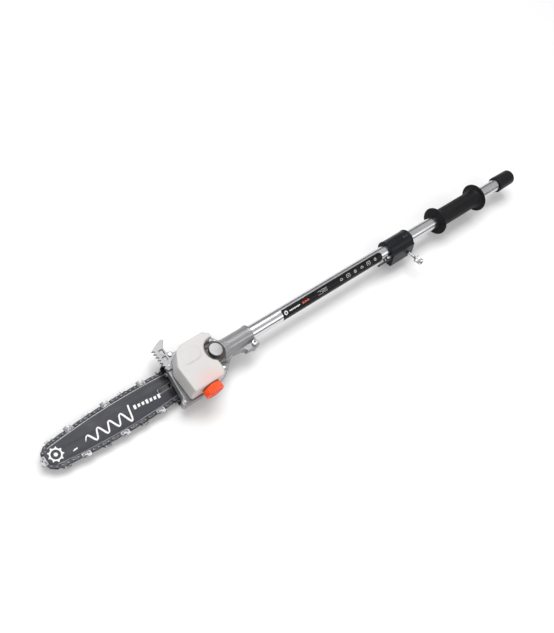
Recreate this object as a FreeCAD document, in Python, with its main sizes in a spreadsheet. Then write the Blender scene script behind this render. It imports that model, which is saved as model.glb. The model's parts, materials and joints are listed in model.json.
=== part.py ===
"""Two-piece pole saw: a rear pole with its grip and coupler, and a front pole with the cutting head.

The tool lies on its side. +X runs along the pole from the drive end to the nose of the guide bar,
+Z points up from the chain cover to the oil tank, and +Y points to the tank's filler cap.
The origin is the centre of the rear tube's open end.
"""
import FreeCAD, Part
import math
import os
import re
from types import SimpleNamespace

import Sketcher

Vector = FreeCAD.Vector
doc = FreeCAD.newDocument("pole_saw")

# ---------------------------------------------------------------- driving sizes, millimetres

SIZES = {
    # tubes and the drive shaft inside them
    "tube_outer": 28, "tube_wall": 1.5, "rear_tube_length": 408, "front_tube_length": 471,
    "tube_gap": 1, "shaft_outer": 8, "square_width": 6.6, "square_length": 20, "shaft_setback": 6,
    "bush_length": 15, "socket_length": 42, "socket_wall": 3.5, "run_fit": 0.06, "slide_gap": 0.3,
    # end cap
    "cap_wall": 4.3, "cap_length": 57, "cap_floor": 4,
    # grip
    "grip_start": 132.5, "grip_length": 149, "grip_wall": 5.75, "flange_rear": 18,
    "flange_front": 17, "flange_width": 5, "flange_flare": 9,
    # coupler and its clamp screw
    "coupler_back": 28, "coupler_front": 41, "coupler_wall": 6.5, "coupler_slit": 3,
    "clamp_lean": 17.5, "clamp_drop": 6.8, "clamp_inset": 9.5, "clamp_back": 14, "clamp_reach": 24,
    "clamp_floor": 13.5, "screw_outer": 8, "screw_length": 53, "screw_back_off": 20,
    "screw_head": 14.5, "screw_head_length": 14, "socket_width": 7, "washer_outer": 16,
    "washer_width": 1.6, "nut_width": 12, "nut_length": 6.5,
    # lock pin
    "pin_outer": 6, "pin_height": 7.6, "pin_travel": 3.5, "boss_length": 11.5, "boss_width": 12,
    "boss_height": 4.8, "handle_outer": 4, "handle_length": 36,
    # label
    "label_start": 25, "label_length": 288, "label_width": 0.15, "label_from": -10, "label_to": 88,
    # gear head
    "neck_wall": 3.5, "neck_length": 38, "spindle_ahead": 51, "bearing_outer": 22,
    "bearing_width": 7, "plate_top": -9, "plate_bottom": -23.5, "tower_outer": 42,
    "lid_bottom": 15, "lid_width": 4, "lid_boss_outer": 26, "lid_boss_height": 9, "wall": 2.6,
    # bevel gears
    "gear_module": 2, "pinion_teeth": 12, "gear_teeth": 15, "gear_face": 7.5, "gear_backlash": 0.5,
    # chain, sprockets and bar
    "chain_pitch": 9.525, "drive_links": 41, "drive_teeth": 6, "nose_teeth": 7,
    "belly_half_width": 29.9, "rail_drop": 3.75, "groove_depth": 5.6, "bar_middle": -28,
    "side_plate": 1.4, "groove_width": 1.5, "bar_tail": 34, "link_thickness": 1.2,
    "stud_ahead": 74, "stud_outer": 8, "stud_depth": 12, "slot_back": 16, "slot_front": 38,
    "tension_ahead": 54, "tension_aside": 5, "tension_screw_ahead": 82.5, "tension_outer": 4,
    "nut_flats": 13, "bar_nut_length": 6.4,
    # chain cover
    "cover_bottom": -45, "cover_wall": 2.4, "pad_half_width": 13, "pad_ahead": 36,
    "pad_length": 48,
    # oil tank
    "tank_bottom": -4, "tank_top": 33, "tank_side": 49, "tank_wall": 2, "tower_gap": 2.5,
    "cap_knob_outer": 37, "cap_knob_length": 14,
    "filler_outer": 26, "filler_length": 9, "filler_ahead": 46, "filler_height": 14,
    "gasket_width": 2,
    # bumper spike and the screws of the casting
    "spike_width": 4.6, "spike_teeth": 6, "spike_low": -65, "spike_high": -29,
    "screw_depth": 9, "small_screw_outer": 3.6, "small_head_outer": 7.2, "small_head_length": 2.6,
    "lug_back": 5, "lug_start": 10, "lug_bottom": -12, "lug_top": 4, "bolt_aside": 9,
}

sheet = doc.addObject("Spreadsheet::Sheet", "Sizes")


def set_size(row, alias, number):
    """Write one named size as plain text in column B of the sheet."""
    sheet.set(f"A{row}", alias)
    sheet.set(f"B{row}", f"{number:g}" if isinstance(number, int) else f"{number:.6g}")
    sheet.setAlias(f"B{row}", alias)


for number_of_row, (name_of_size, first_value) in enumerate(SIZES.items(), start=1):
    set_size(number_of_row, name_of_size, first_value)
doc.recompute()
size = SimpleNamespace(**{alias: float(sheet.get(alias)) for alias in SIZES})


# ---------------------------------------------------------------- the chain's path
# The pitch line is four arcs: round the drive sprocket, along the bar's belly, round the nose
# sprocket and back. The number of drive links fixes its length, and so the distance of centres.

def belly_arc(centres):
    """Centre and radius of the upper belly arc, tangent inside to both sprocket circles."""
    drive_gap = size.belly_half_width - drive_radius
    nose_gap = size.belly_half_width - nose_radius
    square = 1 / drive_gap - 1 / nose_gap
    linear = 2 * centres / nose_gap
    constant = -centres ** 2 / nose_gap - drive_gap + nose_gap
    along = (-linear + math.sqrt(linear ** 2 - 4 * square * constant)) / (2 * square)
    below = (drive_gap ** 2 - along ** 2) / (2 * drive_gap)
    return along, below, size.belly_half_width - below


def loop_angles(centres):
    """Directions, from the belly arc's centre, in which it touches the two sprocket circles."""
    along, below, radius = belly_arc(centres)
    return math.atan2(-below, -along), math.atan2(-below, centres - along)


def loop_length(centres):
    at_drive, at_nose = loop_angles(centres)
    radius = belly_arc(centres)[2]
    round_drive = 2 * (math.pi - at_drive) * drive_radius
    round_nose = 2 * at_nose * nose_radius
    return round_drive + round_nose + 2 * (at_drive - at_nose) * radius


def solve_centres():
    """The distance of sprocket centres at which the chain's links just fill the loop."""
    wanted = 2 * size.drive_links * size.chain_pitch
    low, high = wanted / 4, wanted / 2
    for _ in range(60):
        middle = (low + high) / 2
        if loop_length(middle) < wanted:
            low = middle
        else:
            high = middle
    return low


drive_radius = size.drive_teeth * size.chain_pitch / math.pi
nose_radius = size.nose_teeth * size.chain_pitch / math.pi
size.bar_centres = solve_centres()
SIZES["bar_centres"] = size.bar_centres
set_size(len(SIZES), "bar_centres", size.bar_centres)
doc.recompute()


# ---------------------------------------------------------------- formulas for places

FRONT_START = "(rear_tube_length + tube_gap)"
FRONT_END = f"({FRONT_START} + front_tube_length)"
SPINDLE = f"({FRONT_END} + spindle_ahead)"
NOSE = f"({SPINDLE} + bar_centres)"
STUD = f"({SPINDLE} + stud_ahead)"
SLEEVE = "(tube_outer / 2 + grip_wall)"
CLAMP_DROP = "(tube_outer / 2 + clamp_drop)"
CLAMP_FLOOR = "(tube_outer / 2 + clamp_floor)"
NECK_START = f"({FRONT_END} - neck_length)"
COUPLER_START = "(rear_tube_length - coupler_back)"
COUPLER_END = "(rear_tube_length + coupler_front)"
PIN = f"({COUPLER_END} + boss_length / 2)"
TOWER = "(tower_outer / 2)"
LID_REACH = "(tower_outer / 2 - 4)"
FILLER = f"({SPINDLE} + filler_ahead)"
BOLT_SIDE = "(tube_outer / 2 + bolt_aside)"
BOLT = f"({NECK_START} + lug_back)"
TENSION_SIDE = "(-pad_half_width - tension_aside)"
TENSION_HEIGHT = "(plate_bottom + 4)"
BAR_TOP = "(bar_middle + groove_width / 2 + side_plate)"
BAR_BOTTOM = "(bar_middle - groove_width / 2 - side_plate)"


def formula(text):
    """The same formula with every size's name pointing at its cell."""
    return re.sub(r"[a-z][a-z_]*", lambda word: f"Sizes.{word[0]}" if word[0] in SIZES else word[0],
                  str(text))


def value(text):
    """What a formula comes to now, for shapes that are worked out in this file."""
    probe = doc.addObject("App::FeaturePython", "Probe")
    probe.addProperty("App::PropertyFloat", "Value")
    probe.setExpression("Value", formula(text))
    probe.recompute()
    found = probe.Value
    doc.removeObject(probe.Name)
    return found


# ---------------------------------------------------------------- makers

TURNS = {"X": FreeCAD.Rotation(Vector(0, 1, 0), 90), "Y": FreeCAD.Rotation(Vector(1, 0, 0), -90),
         "Z": FreeCAD.Rotation()}
finished = []


def bind(thing, **sizes):
    for attribute, text in sizes.items():
        thing.setExpression(attribute, formula(text))
    return thing


def put(thing, at, turn=None):
    """Place a thing by three formulas, turned about its own origin first."""
    if turn is not None:
        thing.Placement = FreeCAD.Placement(Vector(), turn)
    for letter, text in zip("xyz", at):
        thing.setExpression(f"Placement.Base.{letter}", formula(text))
    return thing


def rod(name, along, radius, length, at=(0, 0, 0)):
    """A cylinder that starts at a point and runs along an axis."""
    thing = doc.addObject("Part::Cylinder", name)
    bind(thing, Radius=radius, Height=length)
    return put(thing, at, TURNS[along])


def box(name, length, width, height, at=(0, 0, 0)):
    thing = doc.addObject("Part::Box", name)
    bind(thing, Length=length, Width=width, Height=height)
    return put(thing, at)


def taper(name, along, first_radius, second_radius, length, at=(0, 0, 0)):
    thing = doc.addObject("Part::Cone", name)
    bind(thing, Radius1=first_radius, Radius2=second_radius, Height=length)
    return put(thing, at, TURNS[along])


def hexagon(name, along, flats, length, at=(0, 0, 0)):
    thing = doc.addObject("Part::Prism", name)
    thing.Polygon = 6
    bind(thing, Circumradius=f"({flats}) / 1.7320508", Height=length)
    return put(thing, at, TURNS[along])


def join(name, *things):
    thing = doc.addObject("Part::MultiFuse", name)
    thing.Shapes = list(things)
    thing.Refine = True
    return thing


def cut(name, base, *tools):
    thing = doc.addObject("Part::Cut", name)
    thing.Base = base
    thing.Tool = tools[0] if len(tools) == 1 else join(f"{name}_cuts", *tools)
    thing.Refine = True
    return thing


def group(name, *things):
    """Separate identical pieces that share one node."""
    thing = doc.addObject("Part::Compound", name)
    thing.Links = list(things)
    return thing


def shaped(name, shape):
    thing = doc.addObject("Part::Feature", name)
    thing.Shape = shape
    return thing


def finish(thing, node):
    """Name a finished sub-part. Its label names its file."""
    thing.Label = node
    finished.append(thing)
    return thing


def plate(name, corners, bottom, height, round_radius=None):
    """A padded outline in the XY plane. Every corner is held by two formulas."""
    body = doc.addObject("PartDesign::Body", name)
    sketch = body.newObject("Sketcher::SketchObject", f"{name}_outline")
    plane = next(p for p in body.Origin.OriginFeatures if p.Role == "XY_Plane")
    sketch.AttachmentSupport = [(plane, "")]
    sketch.MapMode = "FlatFace"
    bind(sketch, **{"AttachmentOffset.Base.z": bottom})
    spots = [Vector(value(x), value(y), 0) for x, y in corners]
    count = len(spots)
    for number in range(count):
        sketch.addGeometry(Part.LineSegment(spots[number], spots[(number + 1) % count]), False)
    for number in range(count):
        sketch.addConstraint(
            Sketcher.Constraint("Coincident", number, 2, (number + 1) % count, 1))
    for number, (x, y) in enumerate(corners):
        for kind, text, now in (("DistanceX", x, spots[number].x), ("DistanceY", y, spots[number].y)):
            held = sketch.addConstraint(Sketcher.Constraint(kind, -1, 1, number, 1, now))
            sketch.setExpression(f"Constraints[{held}]", formula(text))
    pad = body.newObject("PartDesign::Pad", f"{name}_pad")
    pad.Profile = sketch
    bind(pad, Length=height)
    body.Tip = pad
    if round_radius is not None:
        doc.recompute()
        upright = [f"Edge{i}" for i, edge in enumerate(pad.Shape.Edges, start=1)
                   if abs(edge.tangentAt(edge.FirstParameter).z) > 0.99]
        corner_round = body.newObject("PartDesign::Fillet", f"{name}_round")
        corner_round.Base = (pad, upright)
        bind(corner_round, Radius=round_radius)
        body.Tip = corner_round
    return body


def soften(name, base, radius, wanted):
    """Round the edges of a finished shape that a test picks out."""
    doc.recompute()
    thing = doc.addObject("Part::Fillet", name)
    thing.Base = base
    numbers = [i for i, edge in enumerate(base.Shape.Edges, start=1) if wanted(edge)]
    thing.Edges = [(i, radius, radius) for i in numbers]
    return thing


def ring(name, along, outer, inner, length, at):
    """A tube with an outer and an inner radius."""
    return cut(name, rod(f"{name}_outside", along, outer, length, at),
               rod(f"{name}_inside", along, inner, length, at))


def is_round(edge):
    return edge.Curve.TypeId == "Part::GeomCircle"


# ---------------------------------------------------------------- rear pole

def make_rear_tube():
    tube = ring("RearTube", "X", "tube_outer / 2", "tube_outer / 2 - tube_wall",
                "rear_tube_length", (0, 0, 0))
    finish(tube, "rear_tube")


def make_end_cap():
    """A moulded cup that pushes over the open end and hides the drive square."""
    start = "-cap_floor - slide_gap"
    outside = rod("CapOutside", "X", "tube_outer / 2 + cap_wall", "cap_length", (start, 0, 0))
    bore = rod("CapBore", "X", "tube_outer / 2 + slide_gap", "cap_length",
               ("-slide_gap", 0, 0))
    cup = cut("CapCup", outside, bore)
    rounded = soften("CapRounded", cup, 2.2, lambda edge: is_round(edge)
                     and edge.Curve.Radius > size.tube_outer / 2 + size.cap_wall - 0.1)
    finish(rounded, "end_cap")


def make_grip():
    """A rubber sleeve between two hand flanges, flared where they meet."""
    last = "grip_start + grip_length - flange_width"
    sleeve = rod("GripSleeve", "X", SLEEVE, "grip_length - flange_width",
                 ("grip_start + flange_width / 2", 0, 0))
    rear = rod("GripRear", "X", "tube_outer / 2 + flange_rear", "flange_width", ("grip_start", 0, 0))
    front = rod("GripFront", "X", "tube_outer / 2 + flange_front", "flange_width", (last, 0, 0))
    rear_flare = taper("GripRearFlare", "X", f"{SLEEVE} + flange_flare / 2",
                       SLEEVE, "flange_flare", ("grip_start + flange_width", 0, 0))
    front_flare = taper("GripFrontFlare", "X", SLEEVE,
                        f"{SLEEVE} + flange_flare / 2", "flange_flare",
                        (f"{last} - flange_flare", 0, 0))
    bore = rod("GripBore", "X", "tube_outer / 2", "grip_length", ("grip_start", 0, 0))
    grip = cut("Grip", join("GripBody", sleeve, rear, front, rear_flare, front_flare), bore)
    rim = size.tube_outer / 2 + size.flange_front - 0.1
    rounded = soften("GripRounded", grip, 1.8,
                     lambda edge: is_round(edge) and edge.Curve.Radius > rim)
    finish(rounded, "grip")


def make_rear_shaft():
    """The drive shaft with a square at its open end and a square socket at the joint."""
    bar = rod("RearShaftBar", "X", "shaft_outer / 2",
              f"{COUPLER_START} - shaft_setback - square_length + 8",
              ("shaft_setback + square_length", 0, 0))
    square = box("RearShaftSquare", "square_length", "square_width", "square_width",
                 ("shaft_setback", "-square_width / 2", "-square_width / 2"))
    finish(join("RearShaft", bar, square), "rear_drive_shaft")
    start = f"{COUPLER_START} - 10"
    sleeve = rod("SocketSleeve", "X", "shaft_outer / 2 + socket_wall", "socket_length", (start, 0, 0))
    bore = rod("SocketBore", "X", "shaft_outer / 2", "18", (start, 0, 0))
    hole = box("SocketHole", "socket_length", "square_width + 2 * slide_gap",
               "square_width + 2 * slide_gap",
               (f"{start} + 18", "-square_width / 2 - slide_gap", "-square_width / 2 - slide_gap"))
    finish(cut("ShaftSocket", sleeve, bore, hole), "shaft_socket")


def make_bushes(name, node, starts):
    """Nylon bushes that carry the drive shaft inside a tube."""
    rings = [ring(f"{name}{number}", "X", "tube_outer / 2 - tube_wall",
                  "shaft_outer / 2 + run_fit", "bush_length", (start, 0, 0))
             for number, start in enumerate(starts, start=1)]
    finish(group(name, *rings), node)


def lean(thing, at):
    """Set a thing in the clamp's frame, turned about the pole until its screw leans upward."""
    frame = FreeCAD.Placement(Vector(), FreeCAD.Rotation(Vector(1, 0, 0), size.clamp_lean))
    thing.Placement = frame.multiply(FreeCAD.Placement(Vector(*[value(x) for x in at]),
                                                       thing.Placement.Rotation))
    return thing


def leaning_rod(name, radius, length, at):
    thing = doc.addObject("Part::Cylinder", name)
    bind(thing, Radius=radius, Height=length)
    thing.Placement.Rotation = TURNS["Y"]
    return lean(thing, at)


def leaning_box(name, length, width, height, at):
    thing = doc.addObject("Part::Box", name)
    bind(thing, Length=length, Width=width, Height=height)
    return lean(thing, at)


CLAMP_X = f"({COUPLER_START} + clamp_inset)"


def make_coupler():
    """A split clamp round both tube ends, with a block for the cross screw and the lock pin."""
    length = "coupler_back + coupler_front"
    drum = rod("CouplerDrum", "X", "tube_outer / 2 + coupler_wall", length, (COUPLER_START, 0, 0))
    block = leaning_box("CouplerBlock", length, "clamp_back + clamp_reach", f"{CLAMP_FLOOR} + 6",
                        (COUPLER_START, "-clamp_back", f"-{CLAMP_FLOOR}"))
    body = join("CouplerBody", drum, block)
    corner_reach = size.tube_outer / 2 + size.coupler_wall + 3.5
    softened = soften("CouplerSoft", body, 3.5, lambda edge: edge.Length > 50
                      and not is_round(edge)
                      and math.hypot(edge.CenterOfMass.y, edge.CenterOfMass.z) > corner_reach)
    rear_bore = rod("CouplerRearBore", "X", "tube_outer / 2", "coupler_back + tube_gap",
                    (COUPLER_START, 0, 0))
    front_bore = rod("CouplerFrontBore", "X", "tube_outer / 2 + slide_gap", "coupler_front",
                     ("rear_tube_length + tube_gap", 0, 0))
    slit = leaning_box("CouplerSlit", length, "coupler_slit", "tube_outer + 2 * coupler_wall",
                       (COUPLER_START, "-coupler_slit / 2", f"-{CLAMP_FLOOR} - coupler_slit"))
    hole = leaning_rod("CouplerScrewHole", "screw_outer / 2 + slide_gap",
                       "clamp_back + clamp_reach + 2", (CLAMP_X, "-clamp_back - 1", f"-{CLAMP_DROP}"))
    nut_pocket = leaning_box("CouplerNutPocket", "nut_width", "nut_length", "nut_width + 4",
                             (f"{CLAMP_X} - nut_width / 2", "-clamp_back + 2.5",
                              f"-{CLAMP_DROP} - nut_width / 2 - 4"))
    recess = leaning_box("CouplerRecess", "coupler_back", "9", "3",
                         (f"{COUPLER_START} + 18", "-4.5", "tube_outer / 2 + coupler_wall - 0.8"))
    finish(cut("Coupler", softened, rear_bore, front_bore, slit, hole, nut_pocket, recess),
           "coupler_body")


def make_clamp_screw():
    """The cross screw, backed off, with its washer under the head and its square nut."""
    under_head = "(clamp_reach + screw_back_off + washer_width)"
    shank = leaning_rod("ScrewShank", "screw_outer / 2", "screw_length",
                        (CLAMP_X, f"{under_head} - screw_length", f"-{CLAMP_DROP}"))
    head = leaning_rod("ScrewHead", "screw_head / 2", "screw_head_length",
                       (CLAMP_X, under_head, f"-{CLAMP_DROP}"))
    socket = doc.addObject("Part::Prism", "ScrewSocket")
    socket.Polygon = 6
    bind(socket, Circumradius="socket_width / 1.7320508", Height="screw_head_length")
    socket.Placement.Rotation = TURNS["Y"]
    lean(socket, (CLAMP_X, f"{under_head} + screw_head_length - 6", f"-{CLAMP_DROP}"))
    finish(cut("ClampScrew", join("ScrewSolid", shank, head), socket), "clamp_screw")

    disc = leaning_rod("WasherDisc", "washer_outer / 2", "washer_width",
                       (CLAMP_X, f"{under_head} - washer_width", f"-{CLAMP_DROP}"))
    opening = leaning_rod("WasherHole", "screw_outer / 2 + run_fit", "washer_width",
                          (CLAMP_X, f"{under_head} - washer_width", f"-{CLAMP_DROP}"))
    finish(cut("ClampWasher", disc, opening), "clamp_washer")

    nut = leaning_box("NutBlock", "nut_width", "nut_length", "nut_width",
                      (f"{CLAMP_X} - nut_width / 2", "-clamp_back + 2.5",
                       f"-{CLAMP_DROP} - nut_width / 2"))
    thread = leaning_rod("NutHole", "screw_outer / 2 + run_fit", "nut_length",
                         (CLAMP_X, "-clamp_back + 2.5", f"-{CLAMP_DROP}"))
    finish(cut("ClampNut", nut, thread), "clamp_nut")


def make_coupler_screws():
    """Two countersunk screws that hold the coupler on the rear tube."""
    screws = []
    for number, back in enumerate((7, 15), start=1):
        spot = f"rear_tube_length - {back}"
        screws.append(rod(f"CouplerScrew{number}", "Z", "2.4", "1.2",
                          (spot, 0, "tube_outer / 2 + coupler_wall")))
    finish(group("CouplerScrews", *screws), "coupler_screws")


def make_lock_pin():
    """A cross pin with a bent handle that rests on its boss when it is pulled out."""
    low = "tube_outer / 2 + 0.6"
    block = box("BossBlock", "boss_length", "boss_height", "boss_width",
                (COUPLER_END, low, "-boss_width / 2"))
    bore = rod("BossBore", "Y", "pin_outer / 2 + run_fit", "boss_height", (PIN, low, 0))
    slot = box("BossSlot", "boss_length", "boss_height", "handle_outer + 2 * slide_gap",
               (PIN, low, "-handle_outer / 2 - slide_gap"))
    finish(cut("LockBoss", block, bore, slot), "lock_boss")

    inner = "(tube_outer / 2 + 0.4)"
    pin = rod("PinStem", "Y", "pin_outer / 2", "pin_height", (PIN, inner, 0))
    handle = rod("PinHandle", "X", "handle_outer / 2", "handle_length",
                 (PIN, f"{inner} + pin_height - handle_outer / 2 + 0.2", 0))
    finish(join("LockPin", pin, handle), "lock_pin")


# ---------------------------------------------------------------- front pole

def make_front_tube():
    outside = rod("FrontOutside", "X", "tube_outer / 2", "front_tube_length", (FRONT_START, 0, 0))
    inside = rod("FrontInside", "X", "tube_outer / 2 - tube_wall", "front_tube_length",
                 (FRONT_START, 0, 0))
    hole = rod("FrontPinHole", "Y", "pin_outer / 2 + slide_gap", "tube_outer",
               (PIN, 0, 0))
    finish(cut("FrontTube", outside, inside, hole), "front_tube")


def make_label():
    """A printed foil wrapped round part of the tube."""
    outside = doc.addObject("Part::Cylinder", "LabelOutside")
    inside = doc.addObject("Part::Cylinder", "LabelInside")
    bind(outside, Radius="tube_outer / 2 + label_width", Height="label_length",
         Angle="label_to - label_from")
    bind(inside, Radius="tube_outer / 2", Height="label_length", Angle="label_to - label_from")
    turn = FreeCAD.Rotation(Vector(1, 0, 0), -size.label_to + 90).multiply(
        TURNS["X"]).multiply(FreeCAD.Rotation(Vector(0, 0, 1), 90))
    for piece in (outside, inside):
        put(piece, (f"{COUPLER_END} + label_start", 0, 0), turn)
    finish(cut("PoleLabel", outside, inside), "pole_label")


def make_front_shaft():
    shaft_end = f"{SPINDLE} - 9"
    start = f"({COUPLER_START} + 12)"
    bar = rod("FrontShaftBar", "X", "shaft_outer / 2", f"{shaft_end} - {start} - square_length - 4",
              (f"{start} + square_length + 4", 0, 0))
    square = box("FrontShaftSquare", "square_length + 4", "square_width", "square_width",
                 (start, "-square_width / 2", "-square_width / 2"))
    finish(join("FrontShaft", bar, square), "front_drive_shaft")


# ---------------------------------------------------------------- bevel gears

def cone_point(reach, angle, turn):
    """A point on a cone whose apex is the origin and whose axis is Z."""
    return Vector(reach * math.sin(angle) * math.cos(turn),
                  reach * math.sin(angle) * math.sin(turn), reach * math.cos(angle))


def bevel_shape(teeth, mate_teeth, first_turn, hub_length, bore):
    """A straight bevel gear about Z, with the common apex of the pair at the origin."""
    pitch_angle = math.atan2(teeth, mate_teeth)
    outer_reach = size.gear_module * math.hypot(teeth, mate_teeth) / 2
    inner_reach = outer_reach - size.gear_face
    tip_angle = pitch_angle + math.atan(0.8 * size.gear_module / outer_reach)
    root_angle = pitch_angle - math.atan(1.05 * size.gear_module / outer_reach)
    half = math.pi * size.gear_module / 4 - size.gear_backlash / 2
    slope = math.tan(math.radians(22))
    half_tip = (half - 0.8 * size.gear_module * slope) / (outer_reach * math.sin(tip_angle))
    half_root = (half + 1.05 * size.gear_module * slope) / (outer_reach * math.sin(root_angle))
    sunk = root_angle - 0.03
    blank = Part.makeCone(inner_reach * math.sin(root_angle), outer_reach * math.sin(root_angle),
                          (outer_reach - inner_reach) * math.cos(root_angle),
                          Vector(0, 0, inner_reach * math.cos(root_angle)))
    hub = Part.makeCylinder(bore + 3.2, hub_length, Vector(0, 0, outer_reach * math.cos(root_angle)))
    parts = [hub]
    for number in range(int(teeth)):
        middle = first_turn + number * 2 * math.pi / teeth
        ends = []
        for reach in (outer_reach, inner_reach):
            ends.append([cone_point(reach, sunk, middle - half_root),
                         cone_point(reach, tip_angle, middle - half_tip),
                         cone_point(reach, tip_angle, middle + half_tip),
                         cone_point(reach, sunk, middle + half_root)])
        faces = [Part.Face(Part.makePolygon(end + end[:1])) for end in ends]
        for first in range(4):
            second = (first + 1) % 4
            corners = [ends[0][first], ends[0][second], ends[1][second], ends[1][first]]
            faces.append(Part.Face(Part.makePolygon(corners + corners[:1])))
        tooth = Part.Solid(Part.Shell(faces))
        tooth.fix(1e-4, 1e-4, 1e-4)
        parts.append(tooth if tooth.Volume > 0 else tooth.reversed())
    gear = blank.multiFuse(parts).removeSplitter()
    through = Part.makeCylinder(bore, 4 * outer_reach, Vector(0, 0, -2 * outer_reach))
    return gear.cut(through)


def make_bevel_gears():
    """The pair meets at the crossing of the shaft and the spindle."""
    apex = Vector(value(SPINDLE), 0, 0)
    pinion = shaped("Pinion", bevel_shape(size.pinion_teeth, size.gear_teeth, 0, 3.5,
                                          size.shaft_outer / 2))
    pinion.Placement = FreeCAD.Placement(apex, FreeCAD.Rotation(Vector(0, 1, 0), -90))
    finish(pinion, "bevel_pinion")
    gear = shaped("Gear", bevel_shape(size.gear_teeth, size.pinion_teeth,
                                      math.pi / size.gear_teeth, 2.4, size.shaft_outer / 2))
    gear.Placement = FreeCAD.Placement(apex, FreeCAD.Rotation(Vector(0, 1, 0), 180))
    finish(gear, "bevel_gear")


# ---------------------------------------------------------------- gear head

CASE_OUTLINE = [
    (f"-{TOWER} - 15", "-19"), (f"-{TOWER} - 5", f"-{TOWER} - 15"), ("-8", f"-{TOWER} - 23"),
    ("52", f"-{TOWER} - 24"), ("66", f"-{TOWER} - 28.5"), ("76", "-37"), ("85", "-16"),
    ("92", "36"), ("100", "43"), ("100", "tank_side + 3"), ("17", "tank_side + 2"), ("-6", "tank_side - 8"),
    (f"-{TOWER} - 15", "18.7")]
CASE_GUSSET = [
    ("-84", "8"), ("-66", "27"), ("-60", "22"), ("-38", "18.5"), ("-28", "23"), ("-20", "23"),
    ("-12", "20"), ("0", "19"), ("0", "8")]


def ahead(outline):
    """An outline whose corners are counted from the spindle."""
    return [(f"{SPINDLE} + {x}", y) for x, y in outline]


def make_gear_case():
    """The casting: the neck that grips the tube, the gear tower and the plate under the tank."""
    base = plate("CasePlate", ahead(CASE_OUTLINE), "plate_bottom", "plate_top - plate_bottom", 5)
    neck = rod("CaseNeck", "X", "tube_outer / 2 + neck_wall", "neck_length + spindle_ahead - 12",
               (NECK_START, 0, 0))
    shoulder = taper("CaseShoulder", "X", "tube_outer / 2 + neck_wall",
                     "tube_outer / 2 + 2 * neck_wall", "16",
                     (f"{SPINDLE} - 32", 0, 0))
    tower = rod("CaseTower", "Z", "tower_outer / 2", "lid_bottom - plate_bottom",
                (SPINDLE, 0, "plate_bottom"))
    pad = box("CasePad", "pad_length", "2 * pad_half_width", f"plate_bottom - {BAR_TOP}",
              (f"{SPINDLE} + pad_ahead", "-pad_half_width", BAR_TOP))
    lug = box("CaseLug", "30", f"{BOLT_SIDE} + 6 - lug_start", "lug_top - lug_bottom",
              (f"{NECK_START} - lug_back", "lug_start", "lug_bottom"))
    gusset = plate("CaseGusset", ahead(CASE_GUSSET), "lug_bottom", "lug_top - lug_bottom - 1")
    solid = join("CaseSolid", base, neck, shoulder, tower, pad, lug, gusset)
    cuts = [
        rod("CaseTubeBore", "X", "tube_outer / 2", "neck_length + lug_back",
            (f"{NECK_START} - lug_back", 0, 0)),
        rod("CaseBearingSeat", "X", "bearing_outer / 2", "2 * bearing_width + 1", (FRONT_END, 0, 0)),
        rod("CasePinionRoom", "X", "pinion_teeth * gear_module / 2 + 2.4",
            "spindle_ahead - 2 * bearing_width", (f"{FRONT_END} + 2 * bearing_width", 0, 0)),
        rod("CaseGearRoom", "Z", "gear_teeth * gear_module / 2 + 2.5",
            "lid_bottom - plate_bottom - bearing_width",
            (SPINDLE, 0, "plate_bottom + bearing_width")),
        rod("CaseSpindleSeat", "Z", "bearing_outer / 2", "bearing_width",
            (SPINDLE, 0, "plate_bottom")),
        box("CaseSlit", "neck_length - 2", f"{BOLT_SIDE} + 8", "2",
            (f"{NECK_START} - lug_back - 1", "0", "-5")),
        rod("CaseBoltHole", "Z", "3", "lug_top - lug_bottom", (BOLT, BOLT_SIDE, "lug_bottom")),
        rod("CaseLidSeat", "Z", "tower_outer / 2 + run_fit", "10", (SPINDLE, 0, "lid_bottom")),
        rod("CaseStudHole", "Z", "stud_outer / 2", f"stud_depth + plate_bottom - {BAR_TOP}",
            (STUD, 0, BAR_TOP)),
        box("CasePumpRoom", "25", "17", "12", (f"{SPINDLE} + 13.5", "22", "plate_bottom")),
        rod("CaseOilHole", "Z", "3", "20", (f"{SPINDLE} + 26", "30", "plate_bottom")),
        box("CaseTensionRoom", "18", "9", "8",
            (f"{SPINDLE} + tension_ahead - 12", "-pad_half_width - tension_aside - 4.5",
             "plate_bottom")),
        rod("CaseTensionHole", "X", "tension_outer / 2 + 0.6", "60",
            (f"{SPINDLE} + tension_ahead - 9", TENSION_SIDE, TENSION_HEIGHT)),
        *[rod(f"CaseScrewHole{number}", "Z", "small_screw_outer / 2", "screw_depth",
              (f"{SPINDLE} + {x}", y, "plate_top - screw_depth"))
          for number, (x, y) in enumerate(CASE_SCREWS, start=1)],
        *[rod(f"CaseTankHole{number}", "Z", "2", "plate_top - plate_bottom + 1",
              (f"{SPINDLE} + {x}", y, "plate_bottom - 1"))
          for number, (x, y) in enumerate(TANK_FEET, start=1)],
        *[rod(f"CaseSpikeHole{number}", "Z", "2", "10", (f"{SPINDLE} + {x}", y, "plate_top - 10"))
          for number, (x, y) in enumerate(SPIKE_SCREWS, start=1)],
    ]
    finish(cut("GearCase", solid, *cuts), "gear_case")


CASE_SCREWS = [("-20", "-30"), ("-27", "-tube_outer / 4 - tower_outer / 3 - 0.5"), ("-10", "29"),
               ("20", "44"), ("92", "45")]
TANK_FEET = [("30", "-28"), ("76", "30")]
SPIKE_SCREWS = [("64", f"-{TOWER} - 22"), ("77", "-27")]


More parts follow.
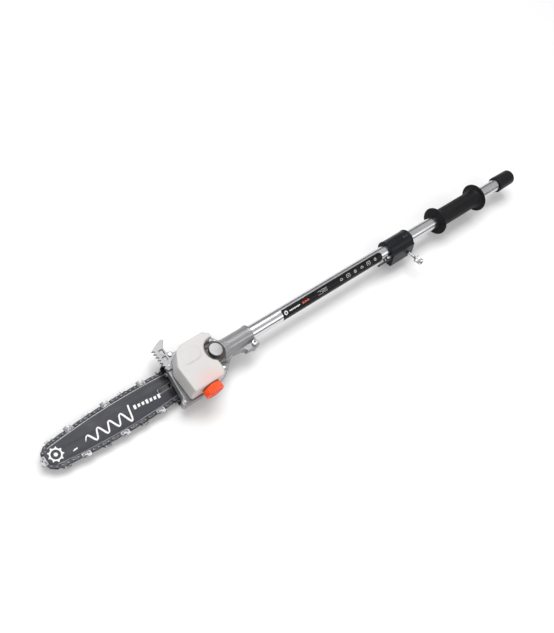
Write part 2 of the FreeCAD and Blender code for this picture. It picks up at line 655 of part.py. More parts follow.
def make_lid():
    """The bearing lid on the tower, with its raised round boss and three screws."""
    flange = rod("LidFlange", "Z", "tower_outer / 2", "lid_width", (SPINDLE, 0, "lid_bottom"))
    boss = rod("LidBoss", "Z", "lid_boss_outer / 2", "lid_width + lid_boss_height",
               (SPINDLE, 0, "lid_bottom"))
    seat = rod("LidSeat", "Z", "bearing_outer / 2", "bearing_width + 1", (SPINDLE, 0, "lid_bottom"))
    spots = []
    for third in range(3):
        turn = math.radians(60 + 120 * third)
        spots.append((f"{SPINDLE} + {LID_REACH} * {math.cos(turn):.4f}",
                      f"{LID_REACH} * {math.sin(turn):.4f}"))
    holes = [rod(f"LidHole{number}", "Z", "1.6", "lid_width", (x, y, "lid_bottom"))
             for number, (x, y) in enumerate(spots, start=1)]
    solid = join("LidSolid", flange, boss)
    lid = cut("Lid", solid, seat, *holes)
    rounded = soften("LidRounded", lid, 1.2, lambda edge: is_round(edge)
                     and abs(edge.CenterOfMass.z - value("lid_bottom + lid_width + lid_boss_height"))
                     < 0.01)
    finish(rounded, "bearing_lid")
    screws = []
    for number, (x, y) in enumerate(spots, start=1):
        stem = rod(f"LidScrewStem{number}", "Z", "1.6", "lid_width", (x, y, "lid_bottom"))
        head = rod(f"LidScrewHead{number}", "Z", "3", "2", (x, y, "lid_bottom + lid_width"))
        screws.append(join(f"LidScrew{number}", stem, head))
    finish(group("LidScrews", *screws), "lid_screws")


def make_bearings():
    """Ball bearings shown as plain rings: two in the neck, one each end of the spindle."""
    first = ring("NeckBearing1", "X", "bearing_outer / 2", "shaft_outer / 2 + run_fit",
                 "bearing_width", (FRONT_END, 0, 0))
    second = ring("NeckBearing2", "X", "bearing_outer / 2", "shaft_outer / 2 + run_fit",
                  "bearing_width", (f"{FRONT_END} + bearing_width", 0, 0))
    finish(group("NeckBearings", first, second), "neck_bearings")
    low = ring("SpindleBearing1", "Z", "bearing_outer / 2", "shaft_outer / 2 + run_fit",
               "bearing_width", (SPINDLE, 0, "plate_bottom"))
    high = ring("SpindleBearing2", "Z", "bearing_outer / 2", "shaft_outer / 2 + run_fit",
                "bearing_width", (SPINDLE, 0, "lid_bottom"))
    finish(group("SpindleBearings", low, high), "spindle_bearings")


def make_spindle():
    bottom = f"({BAR_BOTTOM} - 6)"
    finish(rod("Spindle", "Z", "shaft_outer / 2", f"lid_bottom + bearing_width - {bottom}",
               (SPINDLE, 0, bottom)), "spindle")
    clip = ring("SprocketClip", "Z", "shaft_outer / 2 + 3", "shaft_outer / 2", "1.2",
                (SPINDLE, 0, f"{BAR_BOTTOM} - 2.6"))
    finish(clip, "sprocket_clip")


# ---------------------------------------------------------------- chain, sprockets and bar

def loop_point(distance):
    """Where the pitch line is, and which way is outward, a distance along it from the tail."""
    at_drive, at_nose = loop_angles(size.bar_centres)
    along, below, radius = belly_arc(size.bar_centres)
    half_drive = (math.pi - at_drive) * drive_radius
    belly = (at_drive - at_nose) * radius
    half_loop = half_drive + belly + at_nose * nose_radius
    lower = distance > half_loop
    near = 2 * half_loop - distance if lower else distance
    if near < half_drive:
        turn = math.pi - near / drive_radius
        centre, reach = (0, 0), drive_radius
    elif near < half_drive + belly:
        turn = at_drive - (near - half_drive) / radius
        centre, reach = (along, below), radius
    else:
        turn = at_nose - (near - half_drive - belly) / nose_radius
        centre, reach = (size.bar_centres, 0), nose_radius
    x = centre[0] + reach * math.cos(turn)
    y = centre[1] + reach * math.sin(turn)
    return Vector(value_spindle + x, -y if lower else y, size.bar_middle)


def rivet_spots():
    """The chain's rivets. The first drive link is centred at the tail of the drive sprocket."""
    count = 2 * int(size.drive_links)
    whole = loop_length(size.bar_centres)
    step = whole / count
    return [loop_point(((number - 0.5) * step) % whole) for number in range(count)]


def link_frame(first, second):
    """A placement midway between two rivets: X along the chain, Y outward from the loop."""
    forward = (second - first).normalize()
    outward = Vector(-forward.y, forward.x, 0)
    matrix = FreeCAD.Matrix(forward.x, outward.x, 0, 0, forward.y, outward.y, 0, 0, 0, 0, 1, 0)
    middle = (first + second) * 0.5
    return FreeCAD.Placement(middle, FreeCAD.Placement(matrix).Rotation)


def link_plate(outline, thickness, bottom, spread):
    """A flat link with two rivet holes, its outline in the link's own frame."""
    corners = [Vector(x, y, bottom) for x, y in outline]
    face = Part.Face(Part.makePolygon(corners + corners[:1]))
    solid = face.extrude(Vector(0, 0, thickness))
    for side in (-0.5, 0.5):
        hole = Part.makeCylinder(RIVET_RADIUS + size.run_fit, thickness,
                                 Vector(side * spread, 0, bottom))
        solid = solid.cut(hole)
    return solid


RIVET_RADIUS = 1.6
DRIVE_LINK = [(-8.4, -1.2), (-8.0, 2.2), (-6.6, 3.3), (6.6, 3.3), (8.0, 2.2), (8.4, -1.2),
              (4.6, -3.4), (2.6, -8.0), (-0.6, -8.4), (-4.2, -3.8)]
TIE_STRAP = [(-7.2, -3.0), (-8.3, -1.8), (-8.3, 1.8), (-6.6, 3.3), (6.6, 3.3), (8.3, 1.8),
             (8.3, -1.8), (7.2, -3.0), (1.8, -3.0), (0, -2.2), (-1.8, -3.0)]
CUTTER_SIDE = [(-7.2, -3.0), (-8.3, -1.8), (-8.3, 6.4), (-1.4, 6.9), (0.4, 3.0), (2.6, 2.4),
               (3.6, 6.2), (6.6, 5.0), (8.3, 1.8), (8.3, -1.8), (7.2, -3.0), (1.8, -3.0),
               (0, -2.2), (-1.8, -3.0)]


def make_chain():
    """Drive links in the bar's groove, with tie straps and left and right cutters outside."""
    spots = rivet_spots()
    count = len(spots)
    spread = (spots[2] - spots[1]).Length
    inner = size.groove_width / 2
    thickness = size.link_thickness
    drive = link_plate(DRIVE_LINK, thickness, -thickness / 2, spread)
    straps = {side: link_plate(TIE_STRAP, thickness,
                               inner if side > 0 else -inner - thickness, spread)
              for side in (1, -1)}
    cutters = {}
    for side in (1, -1):
        cheek = link_plate(CUTTER_SIDE, thickness, inner if side > 0 else -inner - thickness, spread)
        roof_start = inner if side > 0 else -inner - 2.6
        corners = [(-8.3, 6.0), (-8.3, 7.0), (-1.4, 7.8), (-1.4, 6.8)]
        profile = [Vector(x, y, roof_start) for x, y in corners]
        roof = Part.Face(Part.makePolygon(profile + profile[:1])).extrude(Vector(0, 0, 2.6))
        cutters[side] = cheek.fuse(roof).removeSplitter()
    links, ties, teeth, rivets = [], [], [], []
    for number in range(0, count, 2):
        links.append(placed(drive, link_frame(spots[number], spots[number + 1])))
        frame = link_frame(spots[number + 1], spots[(number + 2) % count])
        turn = (number // 2) % 4
        for side in (1, -1):
            is_cutter = (turn == 0 and side == 1) or (turn == 2 and side == -1)
            (teeth if is_cutter else ties).append(
                placed(cutters[side] if is_cutter else straps[side], frame))
    reach = size.groove_width / 2 + thickness + 0.5
    for spot in spots:
        rivets.append(Part.makeCylinder(RIVET_RADIUS, 2 * reach, spot - Vector(0, 0, reach)))
    for name, node, pieces in (("DriveLinks", "chain_drive_links", links),
                               ("TieStraps", "chain_tie_straps", ties),
                               ("Cutters", "chain_cutters", teeth),
                               ("Rivets", "chain_rivets", rivets)):
        finish(shaped(name, Part.makeCompound(pieces)), node)


def placed(shape, frame):
    copy = shape.copy()
    copy.Placement = frame
    return copy


def toothed_disc(radius, teeth, gap_turn, tip, thickness, bore):
    """A sprocket about Z with a gap for a drive link's tang at gap_turn and every tooth after."""
    root = radius - 9.2
    parts = [Part.makeCylinder(root, thickness, Vector(0, 0, -thickness / 2))]
    half = math.pi / teeth
    for number in range(int(teeth)):
        middle = gap_turn + (2 * number + 1) * half
        base = 0.52 * half
        top = 0.30 * half * root / tip + 0.02
        corners = [cone_point(root - 1, math.pi / 2, middle - base),
                   cone_point(tip, math.pi / 2, middle - top),
                   cone_point(tip, math.pi / 2, middle + top),
                   cone_point(root - 1, math.pi / 2, middle + base)]
        corners = [Vector(p.x, p.y, -thickness / 2) for p in corners]
        parts.append(Part.Face(Part.makePolygon(corners + corners[:1])).extrude(
            Vector(0, 0, thickness)))
    disc = parts[0].multiFuse(parts[1:]).removeSplitter()
    return disc.cut(Part.makeCylinder(bore, 2 * thickness, Vector(0, 0, -thickness)))


def make_sprockets():
    """The drive sprocket on the spindle and the nose sprocket inside the bar."""
    drive = toothed_disc(drive_radius, size.drive_teeth, math.pi, drive_radius - 1.6,
                         size.groove_width - 0.2, size.shaft_outer / 2)
    rim_width = 1.6
    for low in (size.groove_width / 2, -size.groove_width / 2 - rim_width):
        drive = drive.fuse(Part.makeCylinder(drive_radius - 4.1, rim_width, Vector(0, 0, low)))
    drive = drive.fuse(Part.makeCylinder(drive_radius - 9.4, size.groove_width,
                                         Vector(0, 0, -size.groove_width / 2)))
    drive = drive.cut(Part.makeCylinder(size.shaft_outer / 2, 20, Vector(0, 0, -10)))
    collar = Part.makeCylinder(size.shaft_outer / 2 + 2.4, size.plate_bottom - size.bar_middle
                               - size.slide_gap, Vector(0, 0, 0))
    collar = collar.cut(Part.makeCylinder(size.shaft_outer / 2, 30))
    thing = shaped("DriveSprocket", drive.fuse(collar).removeSplitter())
    thing.Placement.Base = Vector(value_spindle, 0, size.bar_middle)
    finish(thing, "drive_sprocket")

    nose = Vector(value_spindle + size.bar_centres, 0, size.bar_middle)
    spots = rivet_spots()
    mid_links = [(spots[i] + spots[i + 1]) * 0.5 - nose for i in range(0, len(spots), 2)]
    on_nose = min(mid_links, key=lambda spot: abs(math.atan2(spot.y, spot.x)))
    gap_turn = math.atan2(on_nose.y, on_nose.x)
    disc = toothed_disc(nose_radius, size.nose_teeth, gap_turn, nose_radius - 2.4,
                        size.groove_width - 2 * size.slide_gap + 0.2, RACE_RADIUS + 0.1)
    thing = shaped("NoseSprocket", disc)
    thing.Placement.Base = nose
    finish(thing, "nose_sprocket")


RACE_RADIUS = 7.0


def inset_outline(inset):
    """The bar's outline: the chain's pitch line moved inward, closed by a blunt tail."""
    at_drive, at_nose = loop_angles(size.bar_centres)
    along, below, radius = belly_arc(size.bar_centres)
    spindle = Vector(value_spindle, 0, 0)
    belly_centre = spindle + Vector(along, below, 0)
    reach = radius - inset
    tail = size.bar_tail + inset - size.rail_drop
    start_turn = math.acos((tail - along) / reach)
    tail_point = belly_centre + Vector(reach * math.cos(start_turn), reach * math.sin(start_turn), 0)

    def on_belly(turn):
        return belly_centre + Vector(reach * math.cos(turn), reach * math.sin(turn), 0)

    nose = spindle + Vector(size.bar_centres, 0, 0)
    tip = nose + Vector(nose_radius - inset, 0, 0)
    upper = Part.Arc(tail_point, on_belly((start_turn + at_nose) / 2), on_belly(at_nose))
    turn_half = at_nose / 2
    nose_reach = nose_radius - inset
    nose_top = nose + Vector(nose_reach * math.cos(turn_half), nose_reach * math.sin(turn_half), 0)
    cap = Part.Arc(on_belly(at_nose), nose_top, tip)
    half = [upper.toShape(), cap.toShape()]
    flip = FreeCAD.Matrix()
    flip.scale(1, -1, 1)
    other = [edge.transformGeometry(flip) for edge in half]
    mirrored_tail = Vector(tail_point.x, -tail_point.y, 0)
    closing = Part.makeLine(mirrored_tail, tail_point)
    wire = Part.Wire(Part.__sortEdges__(half + other + [closing]))
    return Part.Face(wire)


def slab(face, bottom, height):
    lifted = face.copy()
    lifted.translate(Vector(0, 0, bottom))
    return lifted.extrude(Vector(0, 0, height))


def make_bar():
    """Two side plates with a narrower core between them, which leaves the chain's groove."""
    low = value(BAR_BOTTOM)
    high = value(BAR_TOP)
    outline = inset_outline(size.rail_drop)
    core_face = inset_outline(size.rail_drop + size.groove_depth)
    sides = [slab(outline, low, size.side_plate), slab(outline, high - size.side_plate,
                                                       size.side_plate)]
    core = slab(core_face, low + size.side_plate, high - low - 2 * size.side_plate)
    nose = Vector(value_spindle + size.bar_centres, 0, low)
    core = core.cut(Part.makeCylinder(nose_radius - 1.4, high - low, nose))
    bar = sides[0].multiFuse([sides[1], core])
    slot_low = value(f"{STUD} - slot_back")
    slot_high = value(f"{STUD} + slot_front")
    slot_radius = size.stud_outer / 2 + size.slide_gap
    height = high - low
    slot = Part.makeBox(slot_high - slot_low, 2 * slot_radius, height,
                        Vector(slot_low, -slot_radius, low))
    ends = [Part.makeCylinder(slot_radius, height, Vector(x, 0, low)) for x in (slot_low, slot_high)]
    pin_hole = Part.makeCylinder(2.5 + size.run_fit, height, tension_spot() + Vector(0, 0, low))
    oil_hole = Part.makeCylinder(1.5, height, Vector(tension_spot().x, -tension_spot().y, low))
    rivets = [Part.makeCylinder(1.1, height, spot + Vector(0, 0, low)) for spot in race_rivets()]
    bar = bar.cut(slot.multiFuse(ends + [pin_hole, oil_hole] + rivets)).removeSplitter()
    finish(shaped("GuideBar", bar), "guide_bar")

    race = Part.makeCylinder(RACE_RADIUS, high - low - 2 * size.side_plate,
                             nose + Vector(0, 0, size.side_plate))
    for spot in race_rivets():
        race = race.cut(Part.makeCylinder(1.1, height, spot + Vector(0, 0, low)))
    finish(shaped("NoseRace", race), "nose_race")
    pins = [Part.makeCylinder(1.1, height, spot + Vector(0, 0, low)) for spot in race_rivets()]
    finish(shaped("NoseRivets", Part.makeCompound(pins)), "nose_rivets")


def race_rivets():
    """Five rivets that hold the nose sprocket's inner race between the side plates."""
    centre = Vector(value_spindle + size.bar_centres, 0, 0)
    return [centre + Vector(4.6 * math.cos(turn), 4.6 * math.sin(turn), 0)
            for turn in (2 * math.pi * number / 5 for number in range(5))]


def tension_spot():
    """The adjuster pin's place in the bar's tail."""
    return Vector(value_spindle + size.tension_ahead, value(TENSION_SIDE), 0)


def make_tensioner():
    """A block on a long screw carries the pin that pushes the bar out."""
    spot = f"{SPINDLE} + tension_ahead"
    head_start = f"{SPINDLE} + tension_screw_ahead + 3.3"
    block = box("TensionBody", "8", "8", "7",
                (f"{spot} - 4", f"{TENSION_SIDE} - 4", "plate_bottom + slide_gap"))
    pin = rod("TensionPin", "Z", "2.5", f"plate_bottom + slide_gap + 0.1 - {BAR_BOTTOM}",
              (spot, TENSION_SIDE, BAR_BOTTOM))
    thread = rod("TensionThread", "X", "tension_outer / 2 + run_fit", "8",
                 (f"{spot} - 4", TENSION_SIDE, TENSION_HEIGHT))
    finish(cut("TensionBlock", join("TensionSolid", block, pin), thread), "tension_block")
    shank = rod("TensionShank", "X", "tension_outer / 2",
                "tension_screw_ahead + 4 - tension_ahead + 3", (f"{spot} - 3", TENSION_SIDE,
                                                               TENSION_HEIGHT))
    head = rod("TensionHead", "X", "tension_outer", "3",
               (head_start, TENSION_SIDE, TENSION_HEIGHT))
    drive = box("TensionDrive", "2", "2 * tension_outer", "1",
                (f"{head_start} + 1.5", f"{TENSION_SIDE} - tension_outer",
                 f"{TENSION_HEIGHT} - 0.5"))
    finish(cut("TensionScrew", join("TensionScrewSolid", shank, head), drive), "tension_screw")


def make_bar_fixing():
    """The stud in the case and the nut that clamps the cover on the bar."""
    bottom = "(cover_bottom + cover_wall)"
    stud_low = f"({bottom} - 1.4)"
    finish(rod("BarStud", "Z", "stud_outer / 2", f"stud_depth + plate_bottom - {stud_low}",
               (STUD, 0, stud_low)), "bar_stud")
    nut = hexagon("NutBody", "Z", "nut_flats", "bar_nut_length", (STUD, 0, f"{bottom} - 1.8"))
    hole = rod("NutThread", "Z", "stud_outer / 2", "8", (STUD, 0, f"{bottom} - 2"))
    finish(cut("BarNut", nut, hole), "bar_nut")


COVER_OUTLINE = [
    ("-34", "-24"), ("-20", "-38"), ("0", "-42"), ("80", "-42"), ("92", "40"), ("0", "40"),
    ("-20", "30"), ("-34", "16")]
COVER_ROOM = [
    ("-31.4", "-23"), ("-18.8", "-35.6"), ("0.4", "-39.4"), ("101", "-39.4"), ("101", "37.4"),
    ("0.6", "37.4"), ("-18.8", "27.8"), ("-31.4", "15")]


def make_cover():
    """The dished chain cover, open at the front where the bar comes out."""
    dish = plate("CoverDish", ahead(COVER_OUTLINE), "cover_bottom",
                 "plate_bottom - cover_bottom", 6)
    room = plate("CoverRoom", ahead(COVER_ROOM), "cover_bottom + cover_wall",
                 "plate_bottom - cover_bottom", 4)
    pad = box("CoverPad", "pad_length - 12", "2 * pad_half_width", f"{BAR_BOTTOM} - cover_bottom",
              (f"{SPINDLE} + pad_ahead + 10", "-pad_half_width", "cover_bottom"))
    well = rod("CoverNutWell", "Z", "9.5", "8.4", (STUD, 0, "cover_bottom"))
    hole = rod("CoverStudHole", "Z", "stud_outer / 2 + slide_gap", "40", (STUD, 0, "cover_bottom"))
    shell = join("CoverShell", cut("CoverHollow", dish, room), pad)
    finish(cut("SprocketCover", shell, well, hole), "sprocket_cover")


# ---------------------------------------------------------------- oil tank, spike and screws

TANK_OUTLINE = [
    ("84.5", "-6"), ("68", "-33"), ("54", f"-{TOWER} - 18.5"), ("4", f"-{TOWER} - 19"),
    ("-7", f"-{TOWER} - 10"), ("-7", "-10"), ("12", "0"), ("12", "40"), ("20", "tank_side"),
    ("84.5", "tank_side")]
TANK_ROOM = [
    ("82.3", "-5.4"), ("66.8", "-30.9"), ("53.5", f"-{TOWER} - 16.3"), ("6", f"-{TOWER} - 16.8"),
    ("-4", f"-{TOWER} - 9.4"), ("-4", "-10"), ("14.2", "0"), ("14.2", "39.2"),
    ("21", "tank_side - 2.2"), ("82.3", "tank_side - 2.2")]


def make_tank():
    """A blow-moulded tank round the tower, with its filler neck on the +Y side."""
    outside = plate("TankOutside", ahead(TANK_OUTLINE), "tank_bottom", "tank_top - tank_bottom", 4)
    tower_room = rod("TankTowerRoom", "Z", "tower_outer / 2 + tower_gap", "tank_top - tank_bottom",
                     (SPINDLE, 0, "tank_bottom"))
    block = cut("TankBlock", outside, tower_room)
    top = size.tank_top
    softened = soften("TankSoft", block, 2.0, lambda edge: abs(edge.CenterOfMass.z - top) < 0.01)
    neck = rod("TankNeck", "Y", "filler_outer / 2", "filler_length + 4",
               (FILLER, "tank_side - 4", "filler_height"))
    feet = [rod(f"TankFoot{number}", "Z", "5", "tank_bottom - plate_top + 1",
                (f"{SPINDLE} + {x}", y, "plate_top")) for number, (x, y) in enumerate(TANK_FEET, 1)]
    solid = join("TankSolid", softened, neck, *feet)
    room = plate("TankRoom", ahead(TANK_ROOM), "tank_bottom + tank_wall",
                 "tank_top - tank_bottom - 2 * tank_wall", 3)
    room_tower = rod("TankRoomTower", "Z", "tower_outer / 2 + tower_gap + tank_wall",
                     "tank_top - tank_bottom", (SPINDLE, 0, "tank_bottom"))
    room_cut = cut("TankRoomCut", room, room_tower)
    mouth = rod("TankMouth", "Y", "filler_outer / 2 - tank_wall", "filler_length + 10",
                (FILLER, "tank_side - 8", "filler_height"))
    outlet = rod("TankOutlet", "Z", "2.5", "4", (f"{SPINDLE} + 26", "30", "tank_bottom - 1"))
    screw_holes = [rod(f"TankFootHole{number}", "Z", "2", "6",
                       (f"{SPINDLE} + {x}", y, "plate_top")) for number, (x, y) in
                   enumerate(TANK_FEET, 1)]
    finish(cut("OilTank", solid, room_cut, mouth, outlet, *screw_holes), "oil_tank")
    screws = []
    for number, (x, y) in enumerate(TANK_FEET, start=1):
        spot = (f"{SPINDLE} + {x}", y)
        screws.append(rod(f"TankScrew{number}", "Z", "2", "plate_top - plate_bottom + 6",
                          (*spot, "plate_bottom")))
    finish(group("TankScrews", *screws), "tank_screws")


KNOB_GROOVES = 24


def make_cap():
    """The ribbed filler cap and its gasket."""
    face = "(tank_side + gasket_width)"
    knob = rod("KnobDisc", "Y", "cap_knob_outer / 2", "cap_knob_length", (FILLER, face,
                                                                       "filler_height"))
    bore = rod("KnobBore", "Y", "filler_outer / 2 + slide_gap", "filler_length - gasket_width + 1",
               (FILLER, face, "filler_height"))
    grooves = []
    for number in range(KNOB_GROOVES):
        turn = 2 * math.pi * number / KNOB_GROOVES
        x = f"{FILLER} + (cap_knob_outer / 2 + 0.5) * {math.cos(turn):.4f}"
        z = f"filler_height + (cap_knob_outer / 2 + 0.5) * {math.sin(turn):.4f}"
        grooves.append(rod(f"KnobGroove{number}", "Y", "1.3", "cap_knob_length - 3",
                           (x, f"{face} + 1.5", z)))
    knob_solid = cut("KnobCut", knob, bore, *grooves)
    finish(knob_solid, "oil_cap")
    gasket = ring("CapGasket", "Y", "cap_knob_outer / 2 - 1.2", "filler_outer / 2 + slide_gap",
                  "gasket_width - 0.05", (FILLER, "tank_side + 0.05", "filler_height"))
    finish(gasket, "cap_gasket")


def make_oil_parts():
    """The pump in its pocket, the pipe up to the tank and the felt filter on top of it."""
    pump = box("PumpBlock", "24", "16", "11", (f"{SPINDLE} + 14", "22.5", "plate_bottom + 0.6"))
    finish(pump, "oil_pump")
    pipe_low = "(plate_bottom + 11.6)"
    pipe = ring("OilPipe", "Z", "2.4", "1.4", f"tank_bottom + tank_wall + 4 - {pipe_low}",
                (f"{SPINDLE} + 26", "30", pipe_low))
    finish(pipe, "oil_line")
    start = "tank_bottom + tank_wall + 0.5"
    felt = ring("OilFelt", "Z", "5.5", "2.4", "12", (f"{SPINDLE} + 26", "30", start))
    finish(felt, "oil_filter")


def make_spike():
    """The cast bumper with forward teeth and a swept upper arm."""
    points = 2 * int(size.spike_teeth)
    step = (size.spike_high - size.spike_low) / (points - 1)
    teeth = [("84" if number % 2 else "90", f"spike_low + {number * step:.3f}")
             for number in range(points)]
    outline = [("56", "-74"), ("62", "-77"), ("80", "-70"), *teeth, ("88", "-26"), ("84", "-19"),
               ("74", "-19"), ("58", f"-{TOWER} - 15"), ("58", f"-{TOWER} - 27"),
               ("67", f"-{TOWER} - 29"), ("67", "-61"),
               ("60", "-70")]
    body = plate("SpikeBody", ahead(outline), "plate_top", "spike_width")
    window = box("SpikeWindow", "8", "11", "spike_width - 1.8",
                 (f"{SPINDLE} + 70", "-60", "plate_top + 1.8"))
    lower_window = box("SpikeWindow2", "8", "9", "spike_width - 1.8",
                       (f"{SPINDLE} + 72", "-46", "plate_top + 1.8"))
    holes = [rod(f"SpikeHole{number}", "Z", "2", "spike_width", (f"{SPINDLE} + {x}", y,
                                                              "plate_top"))
             for number, (x, y) in enumerate(SPIKE_SCREWS, start=1)]
    finish(cut("BumperSpike", body, window, lower_window, *holes), "bumper_spike")
    (open_x, open_y), (hidden_x, hidden_y) = SPIKE_SCREWS
    stem = rod("SpikeStem", "Z", "2", "spike_width + 10",
               (f"{SPINDLE} + {open_x}", open_y, "plate_top - 10"))
    head = rod("SpikeHead", "Z", "4", "3", (f"{SPINDLE} + {open_x}", open_y,
                                           "plate_top + spike_width"))
    under_tank = rod("SpikeStemLow", "Z", "2", "spike_width + 10 - 0.2",
                     (f"{SPINDLE} + {hidden_x}", hidden_y, "plate_top - 10"))
    finish(group("SpikeScrews", join("SpikeScrew", stem, head), under_tank), "bumper_screws")


def make_case_screws():
    """Pan-head screws round the edge of the casting, and the cross bolt in its neck lug."""
    screws = []
    for number, (x, y) in enumerate(CASE_SCREWS, start=1):
        stem = rod(f"CaseStem{number}", "Z", "small_screw_outer / 2", "screw_depth",
                   (f"{SPINDLE} + {x}", y, "plate_top - screw_depth"))
        head = rod(f"CaseHead{number}", "Z", "small_head_outer / 2", "small_head_length",
                   (f"{SPINDLE} + {x}", y, "plate_top"))
        screws.append(join(f"CaseScrew{number}", stem, head))
    finish(group("CaseScrews", *screws), "case_screws")
    stem = rod("NeckBoltStem", "Z", "3", "lug_top - lug_bottom + 2",
               (BOLT, BOLT_SIDE, "lug_bottom - 2"))
    head = rod("NeckBoltHead", "Z", "5.5", "6", (BOLT, BOLT_SIDE, "lug_top"))
    socket = hexagon("NeckBoltSocket", "Z", "5", "4", (BOLT, BOLT_SIDE, "lug_top + 3"))
    finish(cut("NeckBolt", join("NeckBoltSolid", stem, head), socket), "neck_bolt")


# ---------------------------------------------------------------- build, check and write

value_spindle = value(SPINDLE)

make_rear_tube()
make_end_cap()
make_grip()
make_rear_shaft()
make_bushes("RearBush", "rear_bushes", ("shaft_setback + square_length + 10", "rear_tube_length / 2"))
make_coupler()
make_clamp_screw()
make_coupler_screws()
make_lock_pin()
make_front_tube()
make_label()
make_front_shaft()
make_bushes("FrontBush", "front_bushes",
            (f"{FRONT_START} + 60", f"{FRONT_START} + front_tube_length / 2",
             f"{FRONT_END} - bush_length"))
make_bevel_gears()
make_gear_case()
make_lid()
make_bearings()
make_spindle()
make_chain()
make_sprockets()
make_bar()
make_tensioner()
make_bar_fixing()
make_cover()
make_tank()
make_cap()
make_oil_parts()
make_spike()
make_case_screws()
doc.recompute()

for thing in doc.Objects:
    if {"Invalid", "Error"} & set(thing.State):
        raise RuntimeError(f"{thing.Label} did not build: {thing.State}")
for thing in finished:
    if thing.Shape.isNull() or not thing.Shape.isValid():
        raise RuntimeError(f"{thing.Label} has no valid shape")

os.makedirs("parts", exist_ok=True)
for thing in finished:
    thing.Shape.exportStep(f"parts/{thing.Label}.step")
    print(f"{thing.Label}: {len(thing.Shape.Solids)} solids, {thing.Shape.Volume / 1000:.2f} cm3")
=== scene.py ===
import json
import math

import bmesh
import bpy
from mathutils import Matrix, Quaternion, Vector


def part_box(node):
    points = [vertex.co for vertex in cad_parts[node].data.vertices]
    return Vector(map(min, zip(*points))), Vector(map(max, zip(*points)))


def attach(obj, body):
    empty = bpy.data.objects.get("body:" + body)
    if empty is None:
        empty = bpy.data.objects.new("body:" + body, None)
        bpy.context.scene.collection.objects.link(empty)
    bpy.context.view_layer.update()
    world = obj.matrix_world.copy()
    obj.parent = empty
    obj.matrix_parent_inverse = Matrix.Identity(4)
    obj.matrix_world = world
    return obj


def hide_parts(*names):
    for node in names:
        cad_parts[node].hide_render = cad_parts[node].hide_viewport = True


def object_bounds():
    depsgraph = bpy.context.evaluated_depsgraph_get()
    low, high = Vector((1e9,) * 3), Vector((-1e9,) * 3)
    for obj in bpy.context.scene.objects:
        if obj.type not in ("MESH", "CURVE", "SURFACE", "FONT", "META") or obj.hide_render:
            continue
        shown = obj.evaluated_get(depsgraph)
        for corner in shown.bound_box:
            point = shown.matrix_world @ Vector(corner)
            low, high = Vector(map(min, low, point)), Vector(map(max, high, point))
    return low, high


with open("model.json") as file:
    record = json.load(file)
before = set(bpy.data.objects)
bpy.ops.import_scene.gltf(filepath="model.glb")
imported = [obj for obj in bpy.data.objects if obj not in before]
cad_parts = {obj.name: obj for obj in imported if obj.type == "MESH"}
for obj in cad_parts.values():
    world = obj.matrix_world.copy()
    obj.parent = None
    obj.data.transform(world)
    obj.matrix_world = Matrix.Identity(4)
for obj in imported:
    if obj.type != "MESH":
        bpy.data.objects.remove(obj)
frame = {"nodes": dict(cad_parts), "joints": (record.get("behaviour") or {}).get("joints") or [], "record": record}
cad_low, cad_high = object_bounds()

# ------------------------------------------------------------------ the camera and the room
# The tool lies on its side on a pale studio floor. The camera stands off the nose end of the bar,
# high up and a little to the filler-cap side, and is rolled so that the pole runs up to the right.

camera = bpy.data.objects.new("camera", bpy.data.cameras.new("camera"))
bpy.context.collection.objects.link(camera)
towards_camera = Vector((0.5329, 0.2047, 0.8211)).normalized()
pole_middle = Vector((0.767, 0.0, 0.0))
camera.location = pole_middle + 1.641 * towards_camera
camera.rotation_mode = "QUATERNION"
camera_roll = Quaternion((0, 0, 1), math.radians(33.8))
camera.rotation_quaternion = (-towards_camera).to_track_quat("-Z", "Y") @ camera_roll
camera.data.sensor_width = 36.0
camera.data.lens = 48.34
bpy.context.scene.camera = camera
bpy.context.scene.view_settings.view_transform = "Standard"


def new_material(name, colour=(0.8, 0.8, 0.8), metallic=0.0, roughness=0.5):
    """A material with flat values on its Principled shader, and that shader."""
    material = bpy.data.materials.new(name)
    material.use_nodes = True
    shader = material.node_tree.nodes["Principled BSDF"]
    shader.inputs["Base Color"].default_value = (*colour, 1)
    shader.inputs["Metallic"].default_value = metallic
    shader.inputs["Roughness"].default_value = roughness
    return material, shader


def add_node(tree, kind, inputs=None, **settings):
    """One node with its settings; an input given as a socket is linked to it."""
    node = tree.nodes.new(kind)
    for key, setting in settings.items():
        setattr(node, key, setting)
    for key, given in (inputs or {}).items():
        if isinstance(given, bpy.types.NodeSocket):
            tree.links.new(given, node.inputs[key])
        else:
            node.inputs[key].default_value = given
    return node


floor_material, floor_shader = new_material("studio_floor", (0.93, 0.93, 0.93), 0, 0.85)
floor_grain = add_node(floor_material.node_tree, "ShaderNodeTexNoise", {"Scale": 3.0})
floor_tone = add_node(floor_material.node_tree, "ShaderNodeMapRange",
                      {"Value": floor_grain.outputs["Fac"], "To Min": 0.91, "To Max": 0.94})
floor_material.node_tree.links.new(floor_tone.outputs["Result"], floor_shader.inputs["Base Color"])
bpy.ops.mesh.primitive_plane_add(size=30, location=(pole_middle.x, 0, cad_low.z - 0.0005))
floor = bpy.context.object
floor.name = "studio_floor"
floor.data.materials.append(floor_material)

world = bpy.data.worlds.new("studio")
world.use_nodes = True
bpy.context.scene.world = world
sky = world.node_tree.nodes["Background"]
sky.inputs["Strength"].default_value = 0.60
heading = add_node(world.node_tree, "ShaderNodeTexCoord")
upward = add_node(world.node_tree, "ShaderNodeSeparateXYZ", {"Vector": heading.outputs["Generated"]})
brighter = add_node(world.node_tree, "ShaderNodeMapRange", {
    "Value": upward.outputs["Z"], "From Min": 0.14, "From Max": 0.62, "To Min": 0.20, "To Max": 1.0},
    interpolation_type="SMOOTHSTEP")
world.node_tree.links.new(brighter.outputs["Result"], sky.inputs["Color"])


